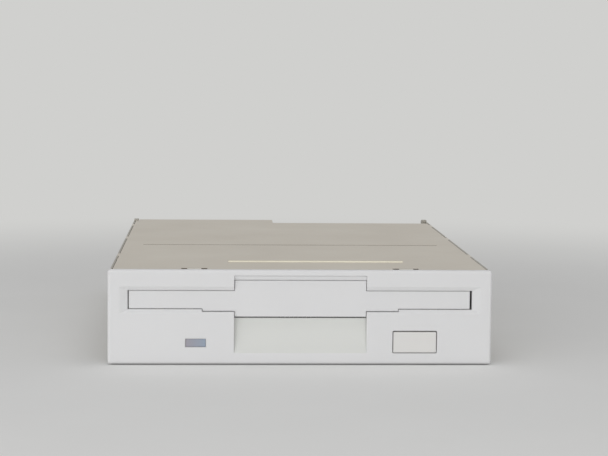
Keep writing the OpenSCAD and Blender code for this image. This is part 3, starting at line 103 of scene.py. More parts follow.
def bare_metal(name, colour, worn, roughness, mottle, grain, depth, pull=(1, 1, 1), edge=0.2, finish=None):
    """Metal with a cloudy tone, a fine grain that pull draws out into lines, and edges rubbed bright."""
    made, tree, place = blank_material(name)
    drawn = add(tree, "ShaderNodeMapping", {"Vector": place, "Scale": pull}).outputs[0]
    cloud = add(tree, "ShaderNodeTexNoise", {"Vector": place, "Scale": per_mm(mottle), "Detail": 4.0})
    grit = add(tree, "ShaderNodeTexNoise", {"Vector": drawn, "Scale": per_mm(grain), "Detail": 3.0})
    rounded = add(tree, "ShaderNodeBevel", {"Radius": edge * MM}, samples=4)
    facing = add(tree, "ShaderNodeNewGeometry").outputs["Normal"]
    turned = add(tree, "ShaderNodeVectorMath", {0: rounded.outputs[0], 1: facing}, operation="DOT_PRODUCT")
    rubbed = add(tree, "ShaderNodeMapRange",
                 {"Value": turned.outputs["Value"], "From Min": 0.98, "From Max": 0.75, "To Max": 0.8})
    clouded = add(tree, "ShaderNodeMix",
                  {0: cloud.outputs[0], 6: paint(colour, shade=0.8), 7: paint(colour)}, data_type="RGBA")
    tone = add(tree, "ShaderNodeMix",
               {0: rubbed.outputs[0], 6: clouded.outputs[2], 7: paint(worn)}, data_type="RGBA")
    gloss = add(tree, "ShaderNodeMapRange",
                {"Value": grit.outputs[0], "To Min": roughness - 0.08, "To Max": roughness + 0.1})
    relief = add(tree, "ShaderNodeBump", {"Strength": 0.5, "Distance": depth * MM,
                                          "Height": grit.outputs[0], "Normal": rounded.outputs[0]})
    shader = add(tree, "ShaderNodeBsdfPrincipled",
                 {"Base Color": tone.outputs[2], "Metallic": 1.0, "Roughness": gloss.outputs[0],
                  "Normal": relief.outputs[0], **(finish or {})})
    add(tree, "ShaderNodeOutputMaterial", {"Surface": shader.outputs[0]})
    return made


def dress(names, *materials, pick=None):
    """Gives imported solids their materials; pick chooses the material's number from a face's middle."""
    for name in names.split():
        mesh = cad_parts[name].data
        mesh.materials.clear()
        for material in materials:
            mesh.materials.append(material)
        if pick:
            for face in mesh.polygons:
                middle = face.center / MM
                face.material_index = pick(middle.x, middle.y + FACE_TO_MIDDLE, middle.z)


# Coated cast aluminium: dull warm grey with cloudy flow marks, a fine grit and rubbed edges.
cast_aluminium = bare_metal("coated_cast_aluminium", "AFABA3", "C6C2BA", 0.5, mottle=9, grain=0.6, depth=0.03)
dress("chassis_frame", cast_aluminium)


# Ejector pin marks: shallow discs with a raised witness ring under the base plate, where the pins
# pushed the casting out of its die. They are part of the same casting.
def tube_faces(rings, sides):
    """Faces of a tube whose rings all have the same number of corners, closed at both ends."""
    faces = []
    for ring in range(rings - 1):
        for k in range(sides):
            first, second = ring * sides + k, ring * sides + (k + 1) % sides
            faces.append((first, second, second + sides, first + sides))
    last = (rings - 1) * sides
    return faces + [tuple(reversed(range(sides))), tuple(range(last, last + sides))]


def lathe(profile, sides=32):
    """Turns a profile of (radius, height) points about the Z axis."""
    angles = [math.tau * k / sides for k in range(sides)]
    corners = [(r * math.cos(a), r * math.sin(a), h) for r, h in profile for a in angles]
    return corners, tube_faces(len(profile), sides)


def moved(shape, place, turn=Matrix.Identity(3)):
    """A shape turned and then put at a place, in millimetres."""
    return [tuple(turn @ Vector(c) + Vector(place)) for c in shape[0]], shape[1]


def join(shapes):
    """Several shapes as one list of corners and faces."""
    corners, faces = [], []
    for more_corners, more_faces in shapes:
        first = len(corners)
        corners += more_corners
        faces += [tuple(first + i for i in f) for f in more_faces]
    return corners, faces


SHARP_ANGLE = math.radians(32)


def make_piece(name, shape, body, material):
    """A mesh object from corners in millimetres, which rides on a body if one is named."""
    mesh = bpy.data.meshes.new(name)
    mesh.from_pydata([at(*c) for c in shape[0]], [], shape[1])
    mesh.materials.append(material)
    mesh.polygons.foreach_set("use_smooth", [True] * len(mesh.polygons))
    mesh.set_sharp_from_angle(angle=SHARP_ANGLE)
    made = bpy.data.objects.new(name, mesh)
    bpy.context.scene.collection.objects.link(made)
    if body:
        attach(made, body)
    return made


BASE_FLOOR = 6.6
PIN_MARK_SINK = 0.1
PIN_MARK = [(0.3, 0), (1.7, 0), (1.85, -0.05), (2.05, -0.05), (2.15, 0), (2.6, 0), (2.7, 0.12)]
PIN_MARK_PLACES = [(x, y) for x in (-38, 38) for y in (24, 50, 78)] + [(0, 24), (24, 24), (-24, 24)]
pin_marks = [moved(lathe(PIN_MARK), (x, y, BASE_FLOOR - PIN_MARK_SINK)) for x, y in PIN_MARK_PLACES]
make_piece("ejector_pin_marks", join(pin_marks), "frame", cast_aluminium)


# Spindle motor board: a steel-backed circuit board under black solder resist, screwed to the base
# plate. Copper tracks under the resist show as fine raised lines.
TRACK_BLOCK, TRACK_PITCH, COPPER_THICKNESS = 9, 1.3, 0.035
BLOCKS_ACROSS, BLOCKS_BARE = 0.5, 0.35
GLASS_WEAVE = 0.7


def band_scale(pitch):
    """Wave texture scale whose bands lie this many millimetres apart; at scale 1 they lie tau / 20 apart."""
    return per_mm(pitch) * math.tau / 20


def circuit_board(name, resist, track, edge):
    """Solder resist over copper tracks that run in blocks of parallel lines, with a bare cut edge."""
    made, tree, place = blank_material(name)
    blocks = add(tree, "ShaderNodeTexVoronoi",
                 {"Vector": place, "Scale": per_mm(TRACK_BLOCK)}, distance="CHEBYCHEV")
    chance = add(tree, "ShaderNodeSeparateColor", {0: blocks.outputs["Color"]})
    bands = {"Vector": place, "Scale": band_scale(TRACK_PITCH)}
    across = add(tree, "ShaderNodeTexWave", bands, bands_direction="X")
    along = add(tree, "ShaderNodeTexWave", bands, bands_direction="Y")
    which = add(tree, "ShaderNodeMath", {0: chance.outputs[0], 1: BLOCKS_ACROSS}, operation="GREATER_THAN")
    lines = add(tree, "ShaderNodeMix",
                {0: which.outputs[0], 6: across.outputs["Color"], 7: along.outputs["Color"]},
                data_type="RGBA")
    copper = add(tree, "ShaderNodeMapRange", {"Value": lines.outputs[2], "From Min": 0.55, "From Max": 0.65})
    routed = add(tree, "ShaderNodeMath", {0: chance.outputs[1], 1: BLOCKS_BARE}, operation="GREATER_THAN")
    shown = add(tree, "ShaderNodeMath", {0: copper.outputs[0], 1: routed.outputs[0]}, operation="MULTIPLY")
    printed = add(tree, "ShaderNodeMix",
                  {0: shown.outputs[0], 6: paint(resist), 7: paint(track)}, data_type="RGBA")
    normal = add(tree, "ShaderNodeNewGeometry").outputs["True Normal"]
    facing = add(tree, "ShaderNodeSeparateXYZ", {0: normal})
    flat = add(tree, "ShaderNodeMath", {0: facing.outputs["Z"], 1: 2.0}, operation="POWER")
    weave = add(tree, "ShaderNodeTexNoise", {"Vector": place, "Scale": per_mm(GLASS_WEAVE), "Detail": 2.0})
    cut_edge = add(tree, "ShaderNodeMix",
                   {0: weave.outputs[0], 6: paint(edge), 7: paint(edge, shade=0.6)}, data_type="RGBA")
    tone = add(tree, "ShaderNodeMix",
               {0: flat.outputs[0], 6: cut_edge.outputs[2], 7: printed.outputs[2]}, data_type="RGBA")
    relief = add(tree, "ShaderNodeBump",
                 {"Strength": 0.6, "Distance": COPPER_THICKNESS * MM, "Height": shown.outputs[0]})
    shader = add(tree, "ShaderNodeBsdfPrincipled", {"Base Color": tone.outputs[2], "Roughness": 0.34,
                                                    "IOR": 1.52, "Normal": relief.outputs[0]})
    add(tree, "ShaderNodeOutputMaterial", {"Surface": shader.outputs[0]})
    return made


# Black resist on a metal core: brown-black with just lighter tracks and a steel-grey edge.
# Its tracks are drawn 1.3 mm apart, because the real ones are too fine to show.
black_resist = circuit_board("black_resist_board", "1E211F", "363C38", "8F8D86")
dress("motor_board", black_resist)


# Spindle bearing, shaft and hub: a sintered bronze bush pressed into the base plate, a ground steel
# shaft that runs in it, and a turned bronze hub with the spring-loaded drive pin.
# Sintered bronze: warm dull gold with open pores. Ground steel: bright, with fine lines round it.
sintered_bronze = bare_metal("sintered_bronze", "A9804F", "C9A46C", 0.45, mottle=3, grain=0.35, depth=0.03)
ground_steel = bare_metal("ground_steel", "BDBDBB", "E2E2E0", 0.2, mottle=5, grain=0.3, depth=0.006,
                          pull=(1, 6, 6))
dress("spindle_bearing spindle_hub screw_bearing", sintered_bronze)
dress("spindle_shaft drive_pin", ground_steel)


# Stator: a stack of punched electrical-steel sheets with twelve teeth, each wound with enamelled
# copper wire, glued on the motor board round the bearing.
# Laminated steel: dark grey with a thin line for each sheet. Enamelled copper: red-brown under gloss.
laminated_steel = bare_metal("laminated_steel", "6E7072", "A2A4A5", 0.42, mottle=4, grain=0.3, depth=0.03,
                             pull=(0.04, 0.04, 1))
enamelled_copper = bare_metal("enamelled_copper", "A2512B", "C77A4C", 0.3, mottle=2, grain=0.4, depth=0.01,
                              finish={"Coat Weight": 0.8, "Coat Roughness": 0.12, "Coat IOR": 1.55})
dress("stator_core", laminated_steel)
SPINDLE_Y = 57
TEETH = 12
COIL_FROM, COIL_TO = 9.95, 14.55
COIL_HALF_WIDTH, COIL_LOW, COIL_HIGH = 1.5, 8.65, 9.7
WINDING_WIRE = 0.16
TURNS_ON_TOOTH = 14


def sweep(path, radius, sides=8):
    """A round wire of one radius along a path of points."""
    path = [Vector(p) for p in path]
    side = (path[1] - path[0]).orthogonal().normalized()
    corners = []
    for i, point in enumerate(path):
        ahead = (path[min(i + 1, len(path) - 1)] - path[max(i - 1, 0)]).normalized()
        side = (side - ahead * side.dot(ahead)).normalized()
        other = ahead.cross(side)
        for k in range(sides):
            angle = math.tau * k / sides
            corners.append(tuple(point + radius * (side * math.cos(angle) + other * math.sin(angle))))
    return corners, tube_faces(len(path), sides)


def tooth_winding():
    """The wire of one coil, wound side by side along its tooth."""
    loop = [(-1, 0.5), (-1, -0.5), (-0.6, -1), (0.6, -1), (1, -0.5), (1, 0.5), (0.6, 1), (-0.6, 1)]
    middle, half = (COIL_LOW + COIL_HIGH) / 2, (COIL_HIGH - COIL_LOW) / 2
    count = TURNS_ON_TOOTH * len(loop)
    path = []
    for i in range(count + 1):
        side, up = loop[i % len(loop)]
        along = COIL_FROM + (COIL_TO - COIL_FROM) * i / count
        path.append((along, side * COIL_HALF_WIDTH, middle + up * half))
    return sweep(path, WINDING_WIRE, sides=6)


tooth_turns = [Matrix.Rotation(math.tau * k / TEETH, 3, "Z") for k in range(TEETH)]
coils = [moved(tooth_winding(), (0, SPINDLE_Y, 0), turn) for turn in tooth_turns]
windings = make_piece("stator_windings", join(coils), "frame", enamelled_copper)
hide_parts("stator_coils")


# Rotor: a pressed steel cup, zinc-plated, with a ferrite ring magnet bonded inside its rim.
# It turns over the stator on the spindle shaft.
MOULD_CLOUD, DUST_AND_SHADE_REACH = 18, 1.6


def moulded(name, colour, shadow, roughness, ior, grain, depth, pull=(1, 1, 1), edge=0.25, finish=None):
    """Moulded or pressed stuff: a slightly uneven tone, fine grain, soft edges, and dust and painted shade in
    corners and gaps.
    """
    made, tree, place = blank_material(name)
    drawn = add(tree, "ShaderNodeMapping", {"Vector": place, "Scale": pull}).outputs[0]
    cloud = add(tree, "ShaderNodeTexNoise", {"Vector": place, "Scale": per_mm(MOULD_CLOUD), "Detail": 3.0})
    fine = add(tree, "ShaderNodeTexNoise", {"Vector": drawn, "Scale": per_mm(grain), "Detail": 2.0})
    rounded = add(tree, "ShaderNodeBevel", {"Radius": edge * MM}, samples=4)
    # Dust and painted shade: ambient occlusion darkens the tone towards the shadow colour in corners, creases
    # and narrow gaps.
    corner = add(tree, "ShaderNodeAmbientOcclusion", {"Distance": DUST_AND_SHADE_REACH * MM}, samples=4)
    dust_and_shade = add(tree, "ShaderNodeMapRange",
               {"Value": corner.outputs["AO"], "From Min": 0.7, "From Max": 0.25, "To Max": 0.15})
    clouded = add(tree, "ShaderNodeMix",
                  {0: cloud.outputs[0], 6: paint(colour, shade=0.95), 7: paint(colour)}, data_type="RGBA")
    tone = add(tree, "ShaderNodeMix",
               {0: dust_and_shade.outputs[0], 6: clouded.outputs[2], 7: paint(shadow)}, data_type="RGBA")
    gloss = add(tree, "ShaderNodeMapRange",
                {"Value": fine.outputs[0], "To Min": roughness - 0.06, "To Max": roughness + 0.08})
    relief = add(tree, "ShaderNodeBump", {"Strength": 0.5, "Distance": depth * MM,
                                          "Height": fine.outputs[0], "Normal": rounded.outputs[0]})
    shader = add(tree, "ShaderNodeBsdfPrincipled",
                 {"Base Color": tone.outputs[2], "Roughness": gloss.outputs[0], "IOR": ior,
                  "Normal": relief.outputs[0], **(finish or {})})
    add(tree, "ShaderNodeOutputMaterial", {"Surface": shader.outputs[0]})
    return made


# Zinc plate: pale blue-grey, satin, with faint rolling lines. Ferrite: dull charcoal with a sinter grain.
zinc_plate = bare_metal("zinc_plated_steel", "B6B8B8", "D5D6D4", 0.34, mottle=14, grain=0.5, depth=0.008,
                        pull=(0.12, 1, 1))
ferrite = moulded("sintered_ferrite", "2E2D2F", "1C1B1C", 0.55, 1.6, grain=0.4, depth=0.02)
dress("rotor_cup", zinc_plate)
dress("rotor_magnet", ferrite)


# Index sensor and motor driver: a black moulded pick-up beside the rotor and a flat black chip with
# tinned leads, both soldered on the motor board.
def rounded_block(low, high, round_by):
    """A block between two corners with all its edges rounded."""
    work = bmesh.new()
    bmesh.ops.create_cube(work, size=1)
    size = Vector(high) - Vector(low)
    bmesh.ops.scale(work, vec=size, verts=work.verts)
    bmesh.ops.translate(work, vec=Vector(low) + size / 2, verts=work.verts)
    bmesh.ops.bevel(work, geom=work.edges[:], offset=round_by, segments=2, profile=0.5, affect="EDGES")
    work.verts.index_update()
    shape = [tuple(v.co) for v in work.verts], [tuple(v.index for v in f.verts) for f in work.faces]
    work.free()
    return shape


LEAD_WIRE, LEAD_ROOT, LEAD_SEAT = 0.16, 0.1, 0.12
LEAD_SHOULDER, LEAD_KNEE, LEAD_HEEL, LEAD_TOE = 0.45, 0.6, 0.75, 1.3


def gull_wing(x, y, z, side, board):
    """One bent lead of a chip that lies along X: out of its side, down and out on the board."""
    foot = board + LEAD_SEAT
    bends = [(0, z), (LEAD_SHOULDER, z), (LEAD_KNEE, (z + board) / 2), (LEAD_HEEL, foot), (LEAD_TOE, foot)]
    return sweep([(x, y + side * out, height) for out, height in bends], LEAD_WIRE, sides=6)


def spaced(count, pitch, middle=0.0):
    """Places in a row, one pitch apart, on both sides of a middle."""
    return [middle + (k - (count - 1) / 2) * pitch for k in range(count)]


# Black glass-filled polyester: dark charcoal, satin. Tinned copper: soft bright grey.
black_polyester = moulded("black_moulded_polyester", "222223", "121212", 0.42, 1.57, grain=0.4, depth=0.015)
tinned_copper = bare_metal("tinned_copper", "C3C4C2", "DCDDDA", 0.28, mottle=2, grain=0.4, depth=0.01)
dress("index_sensor", black_polyester)
MOTOR_BOARD_TOP = 8.4
DRIVER_Y, DRIVER_HALF_LENGTH, DRIVER_HALF_WIDTH = 30, 5, 2.2
DRIVER_LOW, DRIVER_LEAD_HEIGHT, DRIVER_HIGH = 0.1, 0.8, 1.5
DRIVER_LEADS, DRIVER_LEAD_PITCH = 8, 1.2
driver_body = rounded_block((-DRIVER_HALF_LENGTH, DRIVER_Y - DRIVER_HALF_WIDTH, MOTOR_BOARD_TOP + DRIVER_LOW),
                            (DRIVER_HALF_LENGTH, DRIVER_Y + DRIVER_HALF_WIDTH, MOTOR_BOARD_TOP + DRIVER_HIGH),
                            round_by=0.15)
driver_leads = []
for lead_x in spaced(DRIVER_LEADS, DRIVER_LEAD_PITCH):
    for side in (-1, 1):
        driver_leads.append(gull_wing(lead_x, DRIVER_Y + side * (DRIVER_HALF_WIDTH - LEAD_ROOT),
                                      MOTOR_BOARD_TOP + DRIVER_LEAD_HEIGHT, side, MOTOR_BOARD_TOP))
make_piece("motor_driver_body", driver_body, "frame", black_polyester)
make_piece("motor_driver_leads", join(driver_leads), "frame", tinned_copper)


# Screws: steel machine screws with cross recesses, zinc-plated and clear-passivated.
# They hold the motor board, the rod clamps, the stepper bracket and the main board.
# Passivated zinc: bright and a little yellow, with fine turning marks.
passivated_screw = bare_metal("passivated_zinc_screw", "C2C0B4", "E0DED2", 0.27, mottle=2, grain=0.25,
                              depth=0.01)
dress("motor_board_screws clamp_screws bracket_screws main_board_screws", passivated_screw)


# Guide rod and clamps: a centreless-ground steel rod held at both ends by folded, zinc-plated clamps.
# The head carriage slides on it. The drive's small pins and the latch's post are ground the same way.
dress("guide_rod latch_post holder_pins follower_pin arm_hinge_pin", ground_steel)
dress("rod_clamps stepper_bracket", zinc_plate)


# Stepper motor: a drawn steel can whose halves are crimped together, with a moulded terminal block
# on its top and four tinned pins in it. Its bracket is screwed to the base plate.
STEPPER_X, STEPPER_Z, STEPPER_RADIUS = -15, 9.7, 7.5
STEPPER_FROM, STEPPER_TO = 128, 143.5
STEPPER_TOP = STEPPER_Z + STEPPER_RADIUS
TERMINAL_BLOCK_FROM = STEPPER_TOP + 0.1


def stepper_face(x, y, z):
    """1 for the terminal block's faces, which stand above the can, and 0 for the can's."""
    return int(z > TERMINAL_BLOCK_FROM)


dress("stepper_can", zinc_plate, black_polyester, pick=stepper_face)
ALONG_Y = Matrix.Rotation(math.radians(-90), 3, "X")
CRIMP_INSET = 1
CRIMP_LINE = [(-0.5, -0.5), (-0.05, -0.5), (0.12, -0.36), (0.15, 0), (0.12, 0.36), (-0.05, 0.5), (-0.5, 0.5)]
crimp = lathe([(STEPPER_RADIUS + out, along) for out, along in CRIMP_LINE], sides=48)
crimp_places = (STEPPER_FROM + CRIMP_INSET, (STEPPER_FROM + STEPPER_TO) / 2, STEPPER_TO - CRIMP_INSET)
crimp_rings = [moved(crimp, (STEPPER_X, y, STEPPER_Z), ALONG_Y) for y in crimp_places]
make_piece("stepper_crimps", join(crimp_rings), "frame", zinc_plate)
TERMINALS, TERMINAL_Y, TERMINAL_PITCH, TERMINAL_WIRE = 4, 137, 2, 0.3
TERMINAL_LOW, TERMINAL_HIGH = STEPPER_TOP + 1.2, STEPPER_TOP + 2.3
terminal_pins = [sweep([(x, TERMINAL_Y, TERMINAL_LOW), (x, TERMINAL_Y, TERMINAL_HIGH)], TERMINAL_WIRE)
                 for x in spaced(TERMINALS, TERMINAL_PITCH, STEPPER_X)]
make_piece("stepper_terminals", join(terminal_pins), "frame", tinned_copper)


# Lead screw: a steel shaft with one coarse rolled groove of round section, turned by the stepper.
# The carriage's follower pin runs in the groove, one turn for every 3.75 mm.
SCREW_PITCH, SCREW_RADIUS, SCREW_TIP_RADIUS = 3.75, 1.5, 0.8
SCREW_TIP_END, SCREW_FROM, SCREW_TO = 81.6, 83.9, 135.8
THREAD_FROM, THREAD_TO = 85.5, 126
THREAD_DEPTH, THREAD_HALF, THREAD_FADE = 0.32, 0.62, 2
SCREW_NOSE_RADIUS, SCREW_NOSE, SCREW_CHAMFER = 0.5, 0.3, 0.15
SCREW_SIDES, SCREW_STEP = 28, 0.2
FOLLOWER_Y = 105.4


def screw_radius(y, angle):
    """The screw's radius at a place along it and an angle, less where its groove runs."""
    if not THREAD_FROM < y < THREAD_TO:
        return SCREW_RADIUS
    turns = (y - FOLLOWER_Y) / SCREW_PITCH - (angle - math.pi / 2) / math.tau
    off_groove = abs((turns + 0.5) % 1 - 0.5) * SCREW_PITCH
    fade = min(1, (y - THREAD_FROM) / THREAD_FADE, (THREAD_TO - y) / THREAD_FADE)
    if off_groove > THREAD_HALF:
        return SCREW_RADIUS
    return SCREW_RADIUS - fade * THREAD_DEPTH * math.cos(off_groove / THREAD_HALF * math.pi / 2)


def rolled_screw():
    """The tip, the grooved length and the plain end, ring by ring. A ring with no radius has the groove's."""
    steps = int((SCREW_TO - SCREW_FROM) / SCREW_STEP)
    rings = [(SCREW_TIP_END, SCREW_NOSE_RADIUS), (SCREW_TIP_END + SCREW_NOSE, SCREW_TIP_RADIUS)]
    rings += [(SCREW_FROM, SCREW_TIP_RADIUS), (SCREW_FROM, SCREW_RADIUS - SCREW_CHAMFER)]
    rings += [(SCREW_FROM + SCREW_CHAMFER, None)]
    rings += [(SCREW_FROM + SCREW_STEP * k, None) for k in range(1, steps)]
    rings += [(SCREW_TO, SCREW_RADIUS)]
    corners = []
    for y, fixed in rings:
        for k in range(SCREW_SIDES):
            angle = math.tau * k / SCREW_SIDES
            radius = fixed or screw_radius(y, angle)
            corners.append((STEPPER_X + radius * math.sin(angle), y, STEPPER_Z + radius * math.cos(angle)))
    return corners, [tuple(reversed(face)) for face in tube_faces(len(rings), SCREW_SIDES)]


rolled_thread = make_piece("rolled_lead_screw", rolled_screw(), "screw", ground_steel)
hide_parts("lead_screw")


# Head carriage and upper arm: moulded in glass-filled plastic so that they keep their size, with a
# ferrite head in each. The arm swings on a steel pin and a wound spring presses it down.
# Glass-filled plastic: brown-black, satin, with the short fibres just seen along the flow.
glass_filled = moulded("glass_filled_plastic", "38322C", "1F1B18", 0.48, 1.6, grain=0.35, depth=0.02,
                       pull=(1, 0.2, 1))
dress("head_carriage upper_head_arm", glass_filled)
dress("lower_head upper_head", ferrite)
# Spring wire: drawn, oil-tempered steel, grey and half bright.
spring_wire = bare_metal("drawn_spring_wire", "8C8B88", "B9B8B4", 0.3, mottle=3, grain=0.3, depth=0.008)
ARM_PIN_Y, ARM_PIN_Z = 121, 17
ARM_COIL, ARM_WIRE = 1.2, 0.24
STEPS_IN_TURN = 16


def helix(axis, centre, radius, length, turns, start=0.0):
    """Points of a wound wire about the X, Y or Z axis, centred along it."""
    points = []
    count = int(turns * STEPS_IN_TURN)
    for i in range(count + 1):
        angle = start + math.tau * turns * i / count
        along = length * (i / count - 0.5)
        a, b = radius * math.cos(angle), radius * math.sin(angle)
        offset = {"X": (along, a, b), "Y": (b, along, a), "Z": (a, b, along)}[axis]
        points.append(tuple(Vector(centre) + Vector(offset)))
    return points


arm_coil = helix("X", (0, ARM_PIN_Y, ARM_PIN_Z), ARM_COIL, length=4.2, turns=8, start=math.pi / 2)
wound_arm_spring = make_piece("wound_arm_spring", sweep(arm_coil, ARM_WIRE), "carriage",
                              spring_wire)
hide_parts("arm_spring")


# Main board: glass-epoxy circuit board under green solder resist, screwed to posts under the base
# plate's rear. Its parts are soldered to its underside.
# Green resist: deep green gloss over lighter copper tracks, with a straw-coloured cut edge.
green_resist = circuit_board("green_resist_board", "1F4A33", "2F6A48", "B9AC7C")
dress("main_board", green_resist)
BOARD_FLOOR = 3.0
CHIP_LEAD_OUT = 0.02
CHIPS = [(14, 118, 6.5), (-14, 112, 4.5)]


def chip_face(x, y, z):
    """0 for a chip's moulded body and 1 for its leads."""
    return int(all(max(abs(x - cx), abs(y - cy)) > half + CHIP_LEAD_OUT for cx, cy, half in CHIPS))


dress("controller_chips", black_polyester, tinned_copper, pick=chip_face)


# Small parts under the main board: chip resistors with tinned ends, moulded tantalum capacitors and a
# quartz crystal in a low metal can, each soldered flat on the board.
# Fired alumina: matt near-black glaze. Tantalum moulding: ochre epoxy.
resistor_glaze = moulded("glazed_alumina", "1B1D22", "101114", 0.35, 1.5, grain=0.3, depth=0.01)
ochre_epoxy = moulded("moulded_ochre_epoxy", "C08A2E", "6E4C16", 0.45, 1.55, grain=0.3, depth=0.01)
END_STANDS_OUT = 0.03
BODY_ROUND, END_ROUND = 0.06, 0.05


def end_capped(x, y, half_length, half_width, height, cap, turn):
    """A body and its two tinned ends, lying along X or, turned, along Y, under the board."""
    def lay(low, high, rounding):
        if turn:
            low, high = (low[1], low[0], low[2]), (high[1], high[0], high[2])
        return moved(rounded_block(low, high, rounding), (x, y, BOARD_FLOOR))
    body = lay((cap - half_length, -half_width, -height), (half_length - cap, half_width, 0), BODY_ROUND)
    wide, deep = half_width + END_STANDS_OUT, height + END_STANDS_OUT
    ends = [lay((start, -wide, -deep), (start + cap, wide, 0), END_ROUND)
            for start in (-half_length, half_length - cap)]
    return body, ends


RESISTORS = [(x, y, False) for x in (-1, 1.9) for y in (103, 105.4, 107.8, 110.2, 121.4, 123.8, 130.2)]
RESISTORS += [(x, y, True) for x in (25, 27.4, 29.8, 32.2) for y in (108, 113, 127)]
RESISTORS += [(x, y, True) for x in (-24, -26.4, -28.8, -31.2) for y in (106, 112, 119)]
CAPACITORS = [(8, 104, False), (14, 104, False), (-34, 126, True)]
CAPACITORS += [(33, 120, True), (20, 130, False), (-22, 101, False)]
small_bodies, tinned_ends, ochre_bodies = [], [], []
for x, y, turned_round in RESISTORS:
    body, ends = end_capped(x, y, half_length=1.0, half_width=0.62, height=0.5, cap=0.35, turn=turned_round)
    small_bodies.append(body)
    tinned_ends += ends
for x, y, turned_round in CAPACITORS:
    body, ends = end_capped(x, y, half_length=1.75, half_width=1.4, height=1.7, cap=0.2, turn=turned_round)
    ochre_bodies.append(body)
    tinned_ends += ends
CRYSTAL_X, CRYSTAL_Y = 27.5, 134.5
CRYSTAL_HALF_LENGTH, CRYSTAL_HALF_WIDTH = 4.5, 1.8
# For the crystal's can and for its rim: how far it stands out sideways, its height and its edges' rounding.
CRYSTAL_CAN = (0, 2.2, 0.5)
CRYSTAL_RIM = (0.4, 0.4, 0.1)
crystal = []
for grow, height, rounding in (CRYSTAL_CAN, CRYSTAL_RIM):
    half_long, half_wide = CRYSTAL_HALF_LENGTH + grow, CRYSTAL_HALF_WIDTH + grow
    crystal.append(rounded_block((CRYSTAL_X - half_long, CRYSTAL_Y - half_wide, BOARD_FLOOR - height),
                                 (CRYSTAL_X + half_long, CRYSTAL_Y + half_wide, BOARD_FLOOR), rounding))
make_piece("chip_resistors", join(small_bodies), "frame", resistor_glaze)
make_piece("tantalum_capacitors", join(ochre_bodies), "frame", ochre_epoxy)
make_piece("soldered_ends", join(tinned_ends), "frame", tinned_copper)
make_piece("crystal_can", join(crystal), "frame", zinc_plate)


# Connectors: a shrouded data header in black polyester, a power connector and a cable socket in
# ivory nylon, with square gold-flashed pins that are bent down and soldered into the main board.
# Nylon: milky ivory, half gloss. Gold flash: warm yellow over nickel, bright.
ivory_nylon = moulded("ivory_nylon", "E3DECB", "B4AB90", 0.4, 1.53, grain=0.5, depth=0.01,
                      finish={"Subsurface Weight": 0.15, "Subsurface Radius": (1, 0.9, 0.75),
                              "Subsurface Scale": 0.8 * MM})
gold_flash = bare_metal("gold_flash", "D3AE5C", "EBCF8C", 0.22, mottle=2, grain=0.3, depth=0.006, edge=0.08)
dress("data_header", black_polyester)
dress("flex_connector power_connector", ivory_nylon)
dress("data_pins power_pins", gold_flash)


def middle_x(node):
    """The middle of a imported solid's width, in millimetres."""
    low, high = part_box(node)
    return (low.x + high.x) / 2 / MM


DATA_PIN_PITCH, DATA_COLUMNS, DATA_PIN_Y = 2.54, 17, 138.5
POWER_PIN_PITCH, POWER_PINS, POWER_PIN_X, POWER_PIN_Y = 2.5, 4, -34.8, 138
SOLDER = [(0.95, 0), (0.7, -0.18), (0.48, -0.5), (0.36, -0.85), (0.2, -0.98)]
solder_places = [(x, DATA_PIN_Y, BOARD_FLOOR)
                 for x in spaced(DATA_COLUMNS, DATA_PIN_PITCH, middle_x("data_pins"))]
solder_places += [(x, POWER_PIN_Y, BOARD_FLOOR) for x in spaced(POWER_PINS, POWER_PIN_PITCH, POWER_PIN_X)]
make_piece("solder_joints", join(moved(lathe(SOLDER, sides=14), p) for p in solder_places),
           "frame", tinned_copper)


# Head cable: copper tracks between two polyimide films, looped from the carriage down to its socket.
# It is fixed at both ends and rolls as the carriage moves.
# Polyimide: amber, glossy, with the copper tracks showing as lighter stripes.
CABLE_TRACK_PITCH, CABLE_TRACK_HEIGHT = 0.55, 0.02
polyimide, cable_tree, cable_place = blank_material("polyimide_film")
cable_stripes = add(cable_tree, "ShaderNodeTexWave",
                    {"Vector": cable_place, "Scale": band_scale(CABLE_TRACK_PITCH)}, bands_direction="X")
cable_tracks = add(cable_tree, "ShaderNodeMapRange",
                   {"Value": cable_stripes.outputs["Color"], "From Min": 0.45, "From Max": 0.6})
cable_tone = add(cable_tree, "ShaderNodeMix",
                 {0: cable_tracks.outputs[0], 6: paint("8A4A14"), 7: paint("C98A45")}, data_type="RGBA")
cable_relief = add(cable_tree, "ShaderNodeBump",
                   {"Strength": 0.4, "Distance": CABLE_TRACK_HEIGHT * MM, "Height": cable_tracks.outputs[0]})
cable_film = add(cable_tree, "ShaderNodeBsdfPrincipled",
                 {"Base Color": cable_tone.outputs[2], "Roughness": 0.22, "IOR": 1.7,
                  "Normal": cable_relief.outputs[0]})
add(cable_tree, "ShaderNodeOutputMaterial", {"Surface": cable_film.outputs[0]})
CABLE_SIDES = (1, 6.5)
FILM_HALF = 0.1
CABLE_TOP, CABLE_FLOOR, LOOP_Y = 10.8, 5.4, 126
CABLE_MIDDLE = (CABLE_TOP + CABLE_FLOOR) / 2
LOOP_RADIUS = (CABLE_TOP - CABLE_FLOOR) / 2
LOOP_STEPS, HELD_STEPS = 18, 4
CABLE_HELD, CABLE_RUN = 1, 10
loop_angles = [math.pi * k / LOOP_STEPS for k in range(LOOP_STEPS + 1)]
cable_line = [(LOOP_Y - CABLE_HELD + CABLE_HELD * k / HELD_STEPS, CABLE_TOP) for k in range(HELD_STEPS)]
cable_line += [(LOOP_Y + LOOP_RADIUS * math.sin(a), CABLE_MIDDLE + LOOP_RADIUS * math.cos(a))
               for a in loop_angles]
cable_line += [(LOOP_Y - k, CABLE_FLOOR) for k in range(1, CABLE_RUN + 1)]


